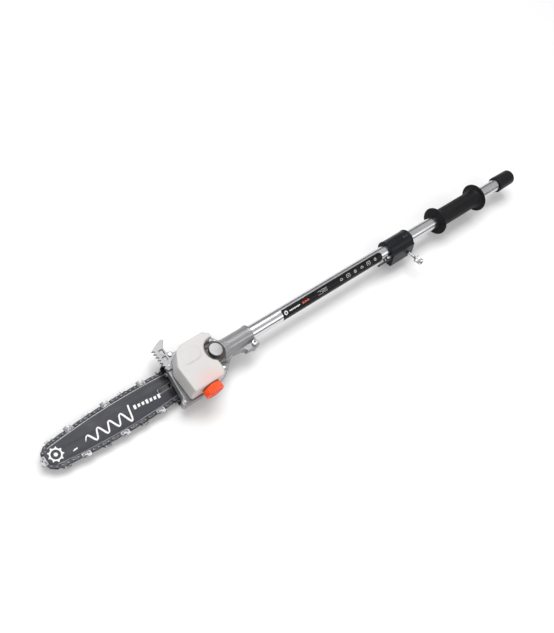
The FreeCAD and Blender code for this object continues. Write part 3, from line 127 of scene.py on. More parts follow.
def softbox(name, place, aim, width, length, watts):
    """A rectangular soft light that faces a point on the tool."""
    lamp = bpy.data.lights.new(name, "AREA")
    lamp.shape = "RECTANGLE"
    lamp.size, lamp.size_y = width, length
    lamp.energy = watts
    holder = bpy.data.objects.new(name, lamp)
    bpy.context.collection.objects.link(holder)
    holder.location = place
    holder.rotation_mode = "QUATERNION"
    holder.rotation_quaternion = (Vector(aim) - Vector(place)).to_track_quat("-Z", "Y")
    return holder


softbox("top_light", (0.7, -0.9, 2.2), (0.7, 0.0, 0.0), 2.6, 1.2, 46)
softbox("front_light", (2.4, 1.2, 1.4), (0.9, 0.0, 0.0), 1.2, 1.2, 10)
softbox("fill_light", (-0.6, 1.6, 1.2), (0.5, 0.0, 0.0), 1.6, 1.0, 8)


# ------------------------------------------------------------------ tubes
# Two drawn aluminium tubes of the same diameter, polished bright and left bare.
# Both butt inside the coupler; the front one ends in the neck of the casting.

def make_group(name, inputs, outputs):
    """An empty shader group with named float inputs and outputs."""
    group = bpy.data.node_groups.new(name, "ShaderNodeTree")
    for key, start in inputs.items():
        group.interface.new_socket(key, in_out="INPUT", socket_type="NodeSocketFloat").default_value = start
    for key in outputs:
        group.interface.new_socket(key, in_out="OUTPUT", socket_type="NodeSocketFloat")
    return group, group.nodes.new("NodeGroupInput"), group.nodes.new("NodeGroupOutput")


def use_group(tree, group, **values):
    """A group node with its inputs set by keyword; an underscore stands for a space."""
    node = tree.nodes.new("ShaderNodeGroup")
    node.node_tree = group
    for key, given in values.items():
        node.inputs[key.replace("_", " ")].default_value = given
    return node


# Fine lines left by drawing or grinding, much longer along the tool than across it.
drawn_lines, drawn_in, drawn_out = make_group(
    "drawn_lines", {"Across": 900.0, "Along": 14.0}, ["Line", "Smudge"])
where = add_node(drawn_lines, "ShaderNodeTexCoord")
stretch = add_node(drawn_lines, "ShaderNodeCombineXYZ", {
    "X": drawn_in.outputs["Along"], "Y": drawn_in.outputs["Across"], "Z": drawn_in.outputs["Across"]})
scaled = add_node(drawn_lines, "ShaderNodeVectorMath", {
    0: where.outputs["Object"], 1: stretch.outputs["Vector"]}, operation="MULTIPLY")
line = add_node(drawn_lines, "ShaderNodeTexNoise", {
    "Vector": scaled.outputs["Vector"], "Scale": 1.0, "Detail": 4.0})
smudge = add_node(drawn_lines, "ShaderNodeTexNoise", {
    "Vector": where.outputs["Object"], "Scale": 26.0, "Detail": 3.0, "Distortion": 0.6})
drawn_lines.links.new(line.outputs["Fac"], drawn_out.inputs["Line"])
drawn_lines.links.new(smudge.outputs["Fac"], drawn_out.inputs["Smudge"])


def wire_skin(tree, shader, colours, roughness, tone_from, gloss_from, height, strength,
              distance=0.0002):
    """Drive a shader by noise: a tone between two colours, a gloss between two values, a relief."""
    tone = add_node(tree, "ShaderNodeMix", {
        "Factor": tone_from, 6: (*colours[0], 1), 7: (*colours[1], 1)}, data_type="RGBA")
    gloss = add_node(tree, "ShaderNodeMapRange", {
        "Value": gloss_from, "From Min": 0.3, "From Max": 0.7,
        "To Min": roughness[0], "To Max": roughness[1]})
    relief = add_node(tree, "ShaderNodeBump", {
        "Height": height, "Strength": strength, "Distance": distance})
    tree.links.new(tone.outputs[2], shader.inputs["Base Color"])
    tree.links.new(gloss.outputs["Result"], shader.inputs["Roughness"])
    tree.links.new(relief.outputs["Normal"], shader.inputs["Normal"])


def metal_finish(name, dark, light, rough_low, rough_high, across, along, bump=0.03):
    """Bare metal with drawn lines in its tone and relief, and fingermarks in its gloss."""
    material, shader = new_material(name, light, 1.0)
    tree = material.node_tree
    lines = use_group(tree, drawn_lines, Across=across, Along=along)
    wire_skin(tree, shader, (dark, light), (rough_low, rough_high), lines.outputs["Line"],
              lines.outputs["Smudge"], lines.outputs["Line"], bump)
    return material


tube_metal = metal_finish("polished_tube", (0.56, 0.56, 0.58), (0.74, 0.74, 0.76), 0.18, 0.28,
                          across=1400, along=18)


def finish_mesh(name, bm, body, material, sharp=32, replaced=()):
    """Turn a bmesh into a smooth-shaded piece that rides on a body."""
    bmesh.ops.remove_doubles(bm, verts=bm.verts, dist=1e-7)
    bmesh.ops.recalc_face_normals(bm, faces=bm.faces)
    mesh = bpy.data.meshes.new(name)
    bm.to_mesh(mesh)
    bm.free()
    mesh.shade_smooth()
    mesh.set_sharp_from_angle(angle=math.radians(sharp))
    piece = bpy.data.objects.new(name, mesh)
    bpy.context.collection.objects.link(piece)
    mesh.materials.append(material)
    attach(piece, body)
    if replaced:
        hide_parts(*replaced)
    return piece


def turn_profile(profile, centre=(0, 0, 0), along=(1, 0, 0), segments=96, wobble=None):
    """Revolve closed (along, radius) points about the pole or another axis through centre.

    A wobble shifts each point's radius."""
    bm = bmesh.new()
    along = Vector(along).normalized()
    side = along.orthogonal().normalized()
    other = along.cross(side)
    rings = []
    for distance, radius in profile:
        ring = []
        for step in range(segments):
            turn = 2 * math.pi * step / segments
            reach = radius + (wobble(distance, radius, turn) if wobble else 0)
            ring.append(bm.verts.new(Vector(centre) + along * distance
                                     + (side * math.cos(turn) + other * math.sin(turn)) * reach))
        rings.append(ring)
    for first, second in zip(rings, rings[1:] + rings[:1]):
        for step in range(segments):
            after = (step + 1) % segments
            bm.faces.new((first[step], first[after], second[after], second[step]))
    return bm


def tube_profile(start, end, outer, inner, chamfer=0.0004):
    """The closed section of a tube's wall, with its four edges broken."""
    return [(start, inner + chamfer), (start, outer - chamfer), (start + chamfer, outer),
            (end - chamfer, outer), (end, outer - chamfer), (end, inner + chamfer),
            (end - chamfer, inner), (start + chamfer, inner)]


def settled(name, bm, add_modifiers):
    """The bmesh that comes of running a shape through modifiers."""
    rough = bpy.data.meshes.new(name)
    bm.to_mesh(rough)
    bm.free()
    holder = bpy.data.objects.new(name, rough)
    bpy.context.collection.objects.link(holder)
    add_modifiers(holder)
    made = bpy.data.meshes.new_from_object(
        holder.evaluated_get(bpy.context.evaluated_depsgraph_get()))
    bpy.data.objects.remove(holder)
    bm = bmesh.new()
    bm.from_mesh(made)
    return bm


tube_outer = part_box("rear_tube")[1].z
tube_wall = 0.0015
tube_inner = tube_outer - tube_wall
pin_x = sum(corner.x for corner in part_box("lock_boss")) / 2
pin_hole_radius = 0.0033


def bore_pin_hole(holder):
    """The cross hole that the lock pin enters, through one wall of the front tube."""
    bpy.ops.mesh.primitive_cylinder_add(
        vertices=32, radius=pin_hole_radius, depth=0.012, rotation=(math.pi / 2, 0, 0),
        location=(pin_x, tube_outer, 0))
    drill = bpy.context.object
    drill.name = "pin_hole_drill"
    drill.hide_render = True
    bore = holder.modifiers.new("pin_hole", "BOOLEAN")
    bore.object = drill
    bore.solver = "EXACT"


for node, body in (("rear_tube", "rear_pole"), ("front_tube", "front_pole")):
    low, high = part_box(node)
    shell = turn_profile(tube_profile(low.x, high.x, tube_outer, tube_inner), segments=128)
    bmesh.ops.recalc_face_normals(shell, faces=shell.faces)
    if node == "front_tube":
        shell = settled("front_tube_rough", shell, bore_pin_hole)
        bpy.data.objects.remove(bpy.data.objects["pin_hole_drill"])
    finish_mesh(f"{node}_drawn", shell, body, tube_metal, replaced=(node,))


# ------------------------------------------------------------------ end cap
# A push-on cup of black rubber that covers the drive end. It has a rolled lip,
# a rounded closed end and a slight draft from its mould.

# Pebbled skin of moulded rubber and nylon, with a faint bloom where hands rub it.
moulded_skin, skin_in, skin_out = make_group(
    "moulded_skin", {"Grain Scale": 2200.0, "Bloom Scale": 34.0}, ["Grain", "Bloom"])
where = add_node(moulded_skin, "ShaderNodeTexCoord")
grain = add_node(moulded_skin, "ShaderNodeTexNoise", {
    "Vector": where.outputs["Object"], "Scale": skin_in.outputs["Grain Scale"], "Detail": 2.0})
bloom = add_node(moulded_skin, "ShaderNodeTexNoise", {
    "Vector": where.outputs["Object"], "Scale": skin_in.outputs["Bloom Scale"], "Detail": 5.0})
moulded_skin.links.new(grain.outputs["Fac"], skin_out.inputs["Grain"])
moulded_skin.links.new(bloom.outputs["Fac"], skin_out.inputs["Bloom"])


def moulded_finish(name, dark, light, rough_low, rough_high, grain_scale, relief_strength=0.25,
                   bloom_scale=34.0, specular=0.5):
    """Moulded rubber or plastic: a bloom in tone and gloss over a fine pebbled skin."""
    material, shader = new_material(name, light)
    shader.inputs["Specular IOR Level"].default_value = specular
    tree = material.node_tree
    skin = use_group(tree, moulded_skin, Grain_Scale=grain_scale, Bloom_Scale=bloom_scale)
    wire_skin(tree, shader, (dark, light), (rough_low, rough_high), skin.outputs["Bloom"],
              skin.outputs["Bloom"], skin.outputs["Grain"], relief_strength)
    return material


cap_rubber = moulded_finish("cap_rubber", (0.006, 0.006, 0.007), (0.014, 0.014, 0.016),
                            0.36, 0.5, 1800, 0.2, specular=0.15)
low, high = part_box("end_cap")
cap_radius = high.z
cap_bore = tube_outer + 0.0003
cap_corner = 0.0040
corner_middle = cap_radius - 0.0048
cap_profile = [(low.x, 0.0001), (low.x, corner_middle)]
for step in range(7):
    turn = math.pi / 2 * step / 6
    cap_profile.append((low.x + cap_corner - cap_corner * math.cos(turn),
                        corner_middle + cap_corner * math.sin(turn)))
cap_profile += [(low.x + 0.030, cap_radius - 0.0005), (high.x - 0.0078, cap_radius - 0.0003),
                (high.x - 0.0072, cap_radius - 0.0009), (high.x - 0.0064, cap_radius - 0.0009),
                (high.x - 0.0058, cap_radius), (high.x - 0.0012, cap_radius),
                (high.x - 0.0003, cap_radius - 0.0004), (high.x, cap_radius - 0.0012),
                (high.x, cap_bore + 0.0005), (high.x - 0.0005, cap_bore), (low.x + 0.004, cap_bore),
                (low.x + 0.004, 0.0001)]
finish_mesh("end_cap_moulded", turn_profile(cap_profile), "end_cap",
            cap_rubber, sharp=40, replaced=("end_cap",))


# ------------------------------------------------------------------ grip
# A one-piece rubber sleeve with a hand flange at each end, pushed on the rear tube.
# The flanges have rolled rims and moulded rings, and flow into the sleeve in a flare.

grip_rubber = moulded_finish("grip_rubber", (0.005, 0.005, 0.006), (0.013, 0.013, 0.015),
                             0.42, 0.58, 1500, 0.35, specular=0.15)
low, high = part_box("grip")
sleeve_radius = 0.01975
rear_radius = high.z
front_radius = rear_radius - 0.001
disc = 0.005


def rim(edge, radius, thickness, inward, steps=6):
    """The half-round rolled rim of a flange, from its outer face to its inner one."""
    half = thickness / 2
    points = []
    for step in range(steps + 1):
        turn = math.pi * step / steps
        points.append((edge + inward * (half - half * math.cos(turn)),
                       radius - half + half * math.sin(turn)))
    return points


def face_rings(edge, inner, outer, inward, count=3, depth=0.0005):
    """Shallow moulded rings on a flange face, from the inside outwards."""
    points = []
    pitch = (outer - inner) / (count + 1)
    for number in range(1, count + 1):
        radius = inner + pitch * number
        points += [(edge, radius - 0.0007), (edge + inward * depth, radius - 0.0003),
                   (edge + inward * depth, radius + 0.0003), (edge, radius + 0.0007)]
    return points


def flare(edge, inward, inner_radius, reach, rise, steps=7):
    """The concave sweep from a flange down to the sleeve."""
    points = []
    for step in range(steps + 1):
        turn = math.pi / 2 * step / steps
        points.append((edge + inward * reach * (1 - math.cos(turn)),
                       inner_radius + rise * (1 - math.sin(turn))))
    return points


grip_profile = [(low.x, tube_outer + 0.0001)]
grip_profile += face_rings(low.x, tube_outer + 0.001, rear_radius - 0.003, 1)
grip_profile += rim(low.x, rear_radius, disc, 1)
grip_profile += flare(low.x + disc, 1, sleeve_radius, 0.012, 0.0075)
sleeve_start, sleeve_end = low.x + disc + 0.013, high.x - disc - 0.013
for number in range(1, 25):
    middle = sleeve_start + (sleeve_end - sleeve_start) * number / 25
    grip_profile += [(middle - 0.0011, sleeve_radius), (middle - 0.0005, sleeve_radius - 0.00035),
                     (middle + 0.0005, sleeve_radius - 0.00035), (middle + 0.0011, sleeve_radius)]
grip_profile += reversed(flare(high.x - disc, -1, sleeve_radius, 0.012, 0.0075))
grip_profile += reversed(rim(high.x, front_radius, disc, -1))
grip_profile += reversed(face_rings(high.x, tube_outer + 0.001, front_radius - 0.003, -1))
grip_profile += [(high.x, tube_outer + 0.0001)]
finish_mesh("grip_moulded", turn_profile(grip_profile), "rear_pole",
            grip_rubber, sharp=50, replaced=("grip",))


# ------------------------------------------------------------------ drive shaft of the rear pole
# A steel rod with a square end that the motor drives, and a steel socket that takes the square
# of the front shaft. Nylon bushes keep it in the middle of the tube.

def home_of(node):
    """The body that a CAD node belongs to."""
    return next(body for body, nodes in frame["record"]["behaviour"]["bodies"].items()
                if node in nodes)


def machined(node, material, edge=0.0002, sharp=30):
    """A node's own shape with its edges broken, as a turned, milled or stamped piece has them."""
    bm = bmesh.new()
    bm.from_mesh(frame["nodes"][node].data)
    bmesh.ops.remove_doubles(bm, verts=bm.verts, dist=2e-6)
    bmesh.ops.dissolve_limit(bm, angle_limit=math.radians(0.8), verts=bm.verts, edges=bm.edges)
    corners = [e for e in bm.edges
               if len(e.link_faces) == 2 and e.calc_face_angle() > math.radians(40)]
    bmesh.ops.bevel(bm, geom=corners, offset=edge, segments=2, profile=0.6, affect="EDGES",
                    clamp_overlap=True)
    return finish_mesh(f"{node}_made", bm, home_of(node), material, sharp=sharp,
                       replaced=(node,))


shaft_steel = metal_finish("shaft_steel", (0.20, 0.20, 0.21), (0.44, 0.44, 0.45), 0.28, 0.45,
                           across=700, along=60, bump=0.06)
machined("rear_drive_shaft", shaft_steel, 0.0003)
machined("shaft_socket", shaft_steel, 0.0004)
bush_nylon = moulded_finish("bush_nylon", (0.62, 0.60, 0.54), (0.74, 0.72, 0.66), 0.38, 0.5,
                            900, 0.15)
machined("rear_bushes", bush_nylon, 0.0005)


# ------------------------------------------------------------------ coupler
# A glass-filled nylon clamp, split underneath, that holds the two tubes in line. It is moulded in
# one piece with a square block below for the cross screw and a rim round each mouth.

def add_block(bm, low, high, turn=None):
    """A block between two corners, turned about the pole's axis if wanted."""
    low, high = Vector(low), Vector(high)
    place = Matrix.Translation((low + high) / 2) @ Matrix.Diagonal((*(high - low), 1))
    if turn:
        place = Matrix.Rotation(turn, 4, "X") @ place
    bmesh.ops.create_cube(bm, size=1, matrix=place)


def add_rod(bm, start, end, radius, segments=48):
    """A round rod between two points."""
    start, end = Vector(start), Vector(end)
    place = (Matrix.Translation((start + end) / 2)
             @ (end - start).to_track_quat("Z", "Y").to_matrix().to_4x4())
    bmesh.ops.create_cone(bm, cap_ends=True, segments=segments, radius1=radius, radius2=radius,
                          depth=(end - start).length, matrix=place)


def add_shape(bm, other):
    """Put another bmesh's faces into this one, and free it."""
    carrier = bpy.data.meshes.new("carrier")
    other.to_mesh(carrier)
    other.free()
    bm.from_mesh(carrier)
    bpy.data.meshes.remove(carrier)


def joint_named(name):
    return next(joint for joint in frame["joints"] if joint["name"] == name)


def cast(node, material, grain, rounds, extra=None, sharp=60):
    """A node's shape and its added ribs run together and rounded over, as a mould leaves them."""
    bm = bmesh.new()
    bm.from_mesh(frame["nodes"][node].data)
    bmesh.ops.remove_doubles(bm, verts=bm.verts, dist=2e-6)
    if extra:
        extra(bm)

    def round_over(holder):
        voxels = holder.modifiers.new("run_together", "REMESH")
        voxels.mode = "VOXEL"
        voxels.voxel_size = grain
        rounded = holder.modifiers.new("rounded", "SMOOTH")
        rounded.factor = 0.5
        rounded.iterations = rounds

    return finish_mesh(f"{node}_cast", settled(f"{node}_rough", bm, round_over), home_of(node),
                       material, sharp=sharp, replaced=(node,))


coupler_nylon = moulded_finish("coupler_nylon", (0.004, 0.005, 0.007), (0.012, 0.013, 0.017),
                               0.28, 0.40, 1300, 0.3, specular=0.2)
coupler_low, coupler_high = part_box("coupler_body")
clamp = joint_named("clamp_screw_turn")
clamp_axis = Vector(clamp["axis"]).normalized()
clamp_foot = Vector(clamp["pos_m"])
clamp_lean = math.atan2(clamp_axis.z, clamp_axis.y)
drum_radius = 0.0205
rim_half = 0.0016


def coupler_ribs(bm):
    """A rim round each mouth and three ribs on the side of the clamp block."""
    for x in (coupler_low.x + rim_half, coupler_high.x - rim_half):
        add_shape(bm, turn_profile(tube_profile(x - rim_half, x + rim_half, drum_radius + 0.0008,
                                                tube_outer + 0.0006)))
    for x in (coupler_low.x + 0.022, coupler_low.x + 0.033, coupler_low.x + 0.044):
        add_block(bm, (x, -0.0148, -0.025), (x + 0.003, -0.0135, 0.004), clamp_lean)


cast("coupler_body", coupler_nylon, 0.0006, 4, coupler_ribs)
dark_zinc = metal_finish("dark_zinc", (0.05, 0.05, 0.055), (0.13, 0.13, 0.14), 0.35, 0.5,
                         across=900, along=300, bump=0.05)
machined("coupler_screws", dark_zinc, 0.0003)


# ------------------------------------------------------------------ clamp screw
# A plated M8 socket screw with a knurled drum head, backed off nearly to its end. Its washer
# hangs under the head and a square nut is trapped in the block.

chrome = metal_finish("bright_plate", (0.60, 0.61, 0.63), (0.80, 0.81, 0.83), 0.08, 0.18,
                      across=500, along=500, bump=0.02)
zinc = metal_finish("zinc_plate", (0.36, 0.36, 0.37), (0.54, 0.54, 0.54), 0.22, 0.38,
                    across=420, along=380, bump=0.05)


def span_along(node, axis, foot):
    """How far along an axis a node starts and ends."""
    reach = [(v.co - foot).dot(axis) for v in frame["nodes"][node].data.vertices]
    return min(reach), max(reach)


screw_start, screw_end = span_along("clamp_screw", clamp_axis, clamp_foot)
thread_radius = 0.004
head_radius = 0.00725
head_start = screw_end - 0.014
thread_pitch = 0.00125
thread_depth = 0.0006
knurl_depth = 0.00028
socket_flat = 0.0035


def screw_shape(distance, radius, turn):
    """Thread on the shank, knurl on the head's side and a hexagon in its socket."""
    if distance < head_start - 0.006 and abs(radius - thread_radius) < 1e-6:
        wave = (distance / thread_pitch - turn / (2 * math.pi)) % 1
        return -thread_depth * abs(2 * wave - 1)
    if head_start + 0.0015 < distance < screw_end - 0.0015 and radius > head_radius - 1e-6:
        return -knurl_depth * abs(2 * ((turn * 30 / math.pi) % 1) - 1)
    if distance > head_start + 0.001 and abs(radius - socket_flat) < 1e-6:
        return socket_flat * (1 / math.cos((turn % (math.pi / 3)) - math.pi / 6) - 1)
    return 0


screw_profile = [(screw_start, 0.0002), (screw_start, thread_radius - 0.0009)]
thread_steps = int((head_start - 0.007 - screw_start) / (thread_pitch / 6))
screw_profile += [(screw_start + 0.0006 + thread_pitch / 6 * step, thread_radius)
                  for step in range(thread_steps)]
screw_profile += [(head_start - 0.0055, thread_radius - 0.0002), (head_start, thread_radius - 0.0002),
                  (head_start, head_radius - 0.0007), (head_start + 0.0006, head_radius - 0.0001),
                  (head_start + 0.0014, head_radius - 0.0001), (head_start + 0.0016, head_radius),
                  (screw_end - 0.0016, head_radius), (screw_end - 0.0014, head_radius - 0.0001),
                  (screw_end - 0.0007, head_radius - 0.0001), (screw_end, head_radius - 0.0009),
                  (screw_end, socket_flat + 0.0009), (screw_end - 0.0005, socket_flat),
                  (screw_end - 0.006, socket_flat), (screw_end - 0.0062, 0.0002)]
finish_mesh("clamp_screw_turned",
            turn_profile(screw_profile, clamp_foot, clamp_axis, 180, screw_shape),
            "clamp_screw", chrome, sharp=28, replaced=("clamp_screw",))
machined("clamp_washer", zinc, 0.0002)
machined("clamp_nut", zinc, 0.0004)


# ------------------------------------------------------------------ lock pin
# A spring pin with a bent handle, in a plated boss on the front of the coupler. Pushed in, it
# enters a hole in the front tube and keeps the tubes from turning.

boss_plate = metal_finish("boss_plate", (0.52, 0.52, 0.53), (0.74, 0.74, 0.75), 0.18, 0.32,
                          across=300, along=300, bump=0.04)
machined("lock_boss", boss_plate, 0.0007)
pin_black = metal_finish("pin_black", (0.03, 0.03, 0.032), (0.10, 0.10, 0.11), 0.28, 0.42,
                         across=500, along=120, bump=0.05)
machined("lock_pin", pin_black, 0.0006)


# ------------------------------------------------------------------ label
# A black printed foil wrapped round the side of the front tube, with a rounded rear end. It
# carries small plain signs, rules and blocks that say nothing.

label_low, label_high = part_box("pole_label")
foil_radius = tube_outer + 0.00015
print_thickness = 0.00004
label_from, label_to = math.radians(-10), math.radians(88)
label_arc = (label_to - label_from) * foil_radius


def on_label(x, s, radius):
    """A point of the wrapped foil: x along the tube, s round it from the foil's upper edge."""
    turn = label_from + s / foil_radius
    return Vector((x, radius * math.sin(turn), radius * math.cos(turn)))


def wrapped(bm, rows, low_radius, high_radius):
    """A thin closed patch from rows of (x, s) points, all rows of the same length."""
    under = [[bm.verts.new(on_label(x, s, low_radius)) for x, s in row] for row in rows]
    over = [[bm.verts.new(on_label(x, s, high_radius)) for x, s in row] for row in rows]
    last_row, last = len(rows) - 1, len(rows[0]) - 1
    for i in range(last_row):
        for j in range(last):
            bm.faces.new((over[i][j], over[i + 1][j], over[i + 1][j + 1], over[i][j + 1]))
            bm.faces.new((under[i][j], under[i][j + 1], under[i + 1][j + 1], under[i + 1][j]))
        for j in (0, last):
            bm.faces.new((under[i][j], under[i + 1][j], over[i + 1][j], over[i][j]))
    for j in range(last):
        for i in (0, last_row):
            bm.faces.new((under[i][j], over[i][j], over[i][j + 1], under[i][j + 1]))


def print_bar(bm, x0, x1, s0, s1):
    """A printed oblong."""
    steps = max(1, math.ceil((s1 - s0) / 0.0008))
    rows = [[(x0, s0 + (s1 - s0) * k / steps), (x1, s0 + (s1 - s0) * k / steps)]
            for k in range(steps + 1)]
    wrapped(bm, rows, foil_radius, foil_radius + print_thickness)


def print_frame(bm, x0, x1, s0, s1, width):
    """A printed oblong outline."""
    print_bar(bm, x0, x1, s0, s0 + width)
    print_bar(bm, x0, x1, s1 - width, s1)
    print_bar(bm, x0, x0 + width, s0 + width, s1 - width)
    print_bar(bm, x1 - width, x1, s0 + width, s1 - width)


def print_ring(bm, x, s, inner, outer, start=0.0, stop=2 * math.pi, steps=28):
    """A printed ring, or a part of one."""
    rows = [[(x + r * math.cos(start + (stop - start) * k / steps),
              s + r * math.sin(start + (stop - start) * k / steps))
             for r in (inner, outer)] for k in range(steps + 1)]
    wrapped(bm, rows, foil_radius, foil_radius + print_thickness)


corner = 0.008
rows = []
for k in range(41):
    s = label_arc * k / 40
    near_edge = min(s, label_arc - s)
    back = corner - math.sqrt(max(0.0, corner ** 2 - max(0.0, corner - near_edge) ** 2))
    rows.append([(label_low.x + back, s), (label_low.x + 0.02, s), (label_high.x, s)])
label_bm = bmesh.new()
wrapped(label_bm, rows, tube_outer, foil_radius)
foil_black = moulded_finish("foil_black", (0.004, 0.004, 0.005), (0.011, 0.011, 0.012),
                            0.24, 0.36, 500, 0.05, bloom_scale=60, specular=0.15)
finish_mesh("pole_label_foil", label_bm, "front_pole", foil_black,
            replaced=("pole_label",))

print_white = moulded_finish("print_white", (0.72, 0.72, 0.72), (0.86, 0.86, 0.86), 0.35, 0.5,
                             800, 0.05)
print_red = moulded_finish("print_red", (0.42, 0.05, 0.03), (0.55, 0.08, 0.05), 0.35, 0.5,
                           800, 0.05)
white_bm = bmesh.new()
sign_low, sign_high = 0.0060, 0.0130
sign_start, sign_pitch, sign_length = 0.016, 0.0205, 0.0105
for number in range(6):
    x0 = label_low.x + sign_start + number * sign_pitch
    x1 = x0 + sign_length
    middle, level = (x0 + x1) / 2, (sign_low + sign_high) / 2
    if number % 3 == 0:
        print_ring(white_bm, middle, level, 0.0026, 0.0033)
        print_bar(white_bm, middle - 0.0005, middle + 0.0005, level - 0.0015, level + 0.0015)
    elif number % 3 == 1:
        print_frame(white_bm, x0, x1, sign_low, sign_high, 0.0006)
        print_bar(white_bm, x0 + 0.0026, x1 - 0.0026, level - 0.0004, level + 0.0004)
    else:
        print_ring(white_bm, middle, level + 0.0010, 0.0030, 0.0037, math.pi, 2 * math.pi)
        print_bar(white_bm, middle - 0.0034, middle + 0.0034, level + 0.0013, level + 0.0020)
for row_number in range(4):
    s = 0.0060 + 0.0022 * row_number
    print_bar(white_bm, label_low.x + 0.166, label_low.x + 0.192 - 0.006 * (row_number % 3),
              s, s + 0.0004)
for number in range(7):
    x = label_low.x + 0.242 + 0.0042 * number
    print_bar(white_bm, x, x + 0.0031, 0.0078, 0.0108 if number % 2 else 0.0101)
print_ring(white_bm, label_high.x - 0.0085, 0.0092, 0.0022, 0.0044)
finish_mesh("pole_label_print", white_bm, "front_pole", print_white)
red_bm = bmesh.new()
for number in range(3):
    x = label_low.x + 0.217 + 0.0066 * number
    print_bar(red_bm, x, x + 0.0052, 0.0072, 0.0112)
finish_mesh("pole_label_patch", red_bm, "front_pole", print_red)


# ------------------------------------------------------------------ drive shaft of the front pole
# A steel rod in three nylon bushes. Its square end slides into the socket of the rear shaft and
# its other end carries the bevel pinion.

machined("front_drive_shaft", shaft_steel, 0.0003)
machined("front_bushes", bush_nylon, 0.0005)
machined("bevel_pinion", shaft_steel, 0.0001)
machined("neck_bearings", chrome, 0.0005)


# ------------------------------------------------------------------ gear casting
# The die-cast aluminium housing: a split neck that is clamped on the tube, a round tower for the
# bevel gears and a flat plate that carries the tank, the bar and the pump. It is left as cast.

cast_skin, cast_in, cast_out = make_group(
    "cast_skin", {"Sand Scale": 1500.0, "Flow Scale": 45.0}, ["Sand", "Flow", "Pits"])
where = add_node(cast_skin, "ShaderNodeTexCoord")
sand = add_node(cast_skin, "ShaderNodeTexNoise", {
    "Vector": where.outputs["Object"], "Scale": cast_in.outputs["Sand Scale"], "Detail": 3.0})
flow = add_node(cast_skin, "ShaderNodeTexNoise", {
    "Vector": where.outputs["Object"], "Scale": cast_in.outputs["Flow Scale"], "Detail": 5.0,
    "Distortion": 1.2})
pits = add_node(cast_skin, "ShaderNodeTexVoronoi", {
    "Vector": where.outputs["Object"], "Scale": 420.0})
pit_mask = add_node(cast_skin, "ShaderNodeMapRange", {
    "Value": pits.outputs["Distance"], "From Min": 0.04, "From Max": 0.16})
cast_skin.links.new(sand.outputs["Fac"], cast_out.inputs["Sand"])
cast_skin.links.new(flow.outputs["Fac"], cast_out.inputs["Flow"])
cast_skin.links.new(pit_mask.outputs["Result"], cast_out.inputs["Pits"])


def cast_finish(name, dark, light, metallic, rough_low, rough_high, relief_strength=0.35):
    """Bare cast aluminium: cloudy tone, a sandy skin and a few pits."""
    material, shader = new_material(name, light, metallic)
    tree = material.node_tree
    skin = use_group(tree, cast_skin)
    height = add_node(tree, "ShaderNodeMath", {
        0: skin.outputs["Sand"], 1: skin.outputs["Pits"]}, operation="ADD")
    wire_skin(tree, shader, (dark, light), (rough_low, rough_high), skin.outputs["Flow"],
              skin.outputs["Flow"], height.outputs["Value"], relief_strength, 0.00025)
    return material


cast_metal = cast_finish("as_cast_aluminium", (0.25, 0.25, 0.26), (0.38, 0.38, 0.39), 0.65,
                         0.36, 0.52)
case_low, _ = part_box("gear_case")
spindle_x = joint_named("spindle_spin")["pos_m"][0]
neck_radius = tube_outer + 0.0035
plate_top = -0.009


def case_ribs(bm):
    """Ribs along the neck, a rolled mouth, the neck bolt's lug and a pad under each screw."""
    for turn in (-32, -8, 16):
        add_block(bm, (case_low.x + 0.008, -0.0011, neck_radius - 0.002),
                  (spindle_x - 0.016, 0.0011, neck_radius + 0.0014), math.radians(turn))
    add_shape(bm, turn_profile(tube_profile(case_low.x + 0.005, case_low.x + 0.0095,
                                            neck_radius + 0.0012, tube_outer)))
    add_rod(bm, (case_low.x + 0.010, 0.023, -0.0125), (case_low.x + 0.010, 0.023, 0.0042), 0.0085)
    add_block(bm, (case_low.x + 0.001, 0.012, -0.0105), (case_low.x + 0.021, 0.0285, 0.0030))
    for x, y in ((-20, -30), (-27, -21.5), (-10, 29), (20, 44), (92, 45)):
        foot = Vector((spindle_x + x / 1000, y / 1000, plate_top))
        add_rod(bm, foot - Vector((0, 0, 0.010)), foot + Vector((0, 0, 0.0002)), 0.0050)


cast("gear_case", cast_metal, 0.0008, 4, case_ribs)


# ------------------------------------------------------------------ bearing lid
# A turned aluminium lid that closes the tower over the upper spindle bearing. It stands proud in
# a plain round boss; its flange, held by three screws, is painted near black as shade in the recess round the
# boss.

lid_metal = metal_finish("turned_aluminium", (0.30, 0.30, 0.31), (0.38, 0.38, 0.39), 0.42, 0.54,
                         across=260, along=260, bump=0.05)
boss_reach = 0.0128
tree = lid_metal.node_tree
lid_shader = tree.nodes["Principled BSDF"]
spot = add_node(tree, "ShaderNodeTexCoord")
off_axis = add_node(tree, "ShaderNodeVectorMath", {
    0: spot.outputs["Object"], 1: (-spindle_x, 0, 0)}, operation="ADD")
flat_off = add_node(tree, "ShaderNodeVectorMath", {
    0: off_axis.outputs["Vector"], 1: (1, 1, 0)}, operation="MULTIPLY")
reach = add_node(tree, "ShaderNodeVectorMath", {0: flat_off.outputs["Vector"]}, operation="LENGTH")
# Beyond the boss the lid's colour turns near black: painted shade in the recess round the lid.
painted_flange_shade = add_node(tree, "ShaderNodeMapRange", {
    "Value": reach.outputs["Value"], "From Min": boss_reach, "From Max": boss_reach + 0.0006})
bright = lid_shader.inputs["Base Color"].links[0].from_socket
shade_darkened_lid = add_node(tree, "ShaderNodeMix", {
    "Factor": painted_flange_shade.outputs["Result"], 6: bright, 7: (0.085, 0.075, 0.068, 1)}, data_type="RGBA")
tree.links.new(shade_darkened_lid.outputs[2], lid_shader.inputs["Base Color"])
machined("bearing_lid", lid_metal, 0.0004)
machined("lid_screws", dark_zinc, 0.0003)
machined("bevel_gear", shaft_steel, 0.0001)
machined("spindle_bearings", chrome, 0.0005)
machined("spindle", shaft_steel, 0.0003)
machined("sprocket_clip", pin_black, 0.0001)
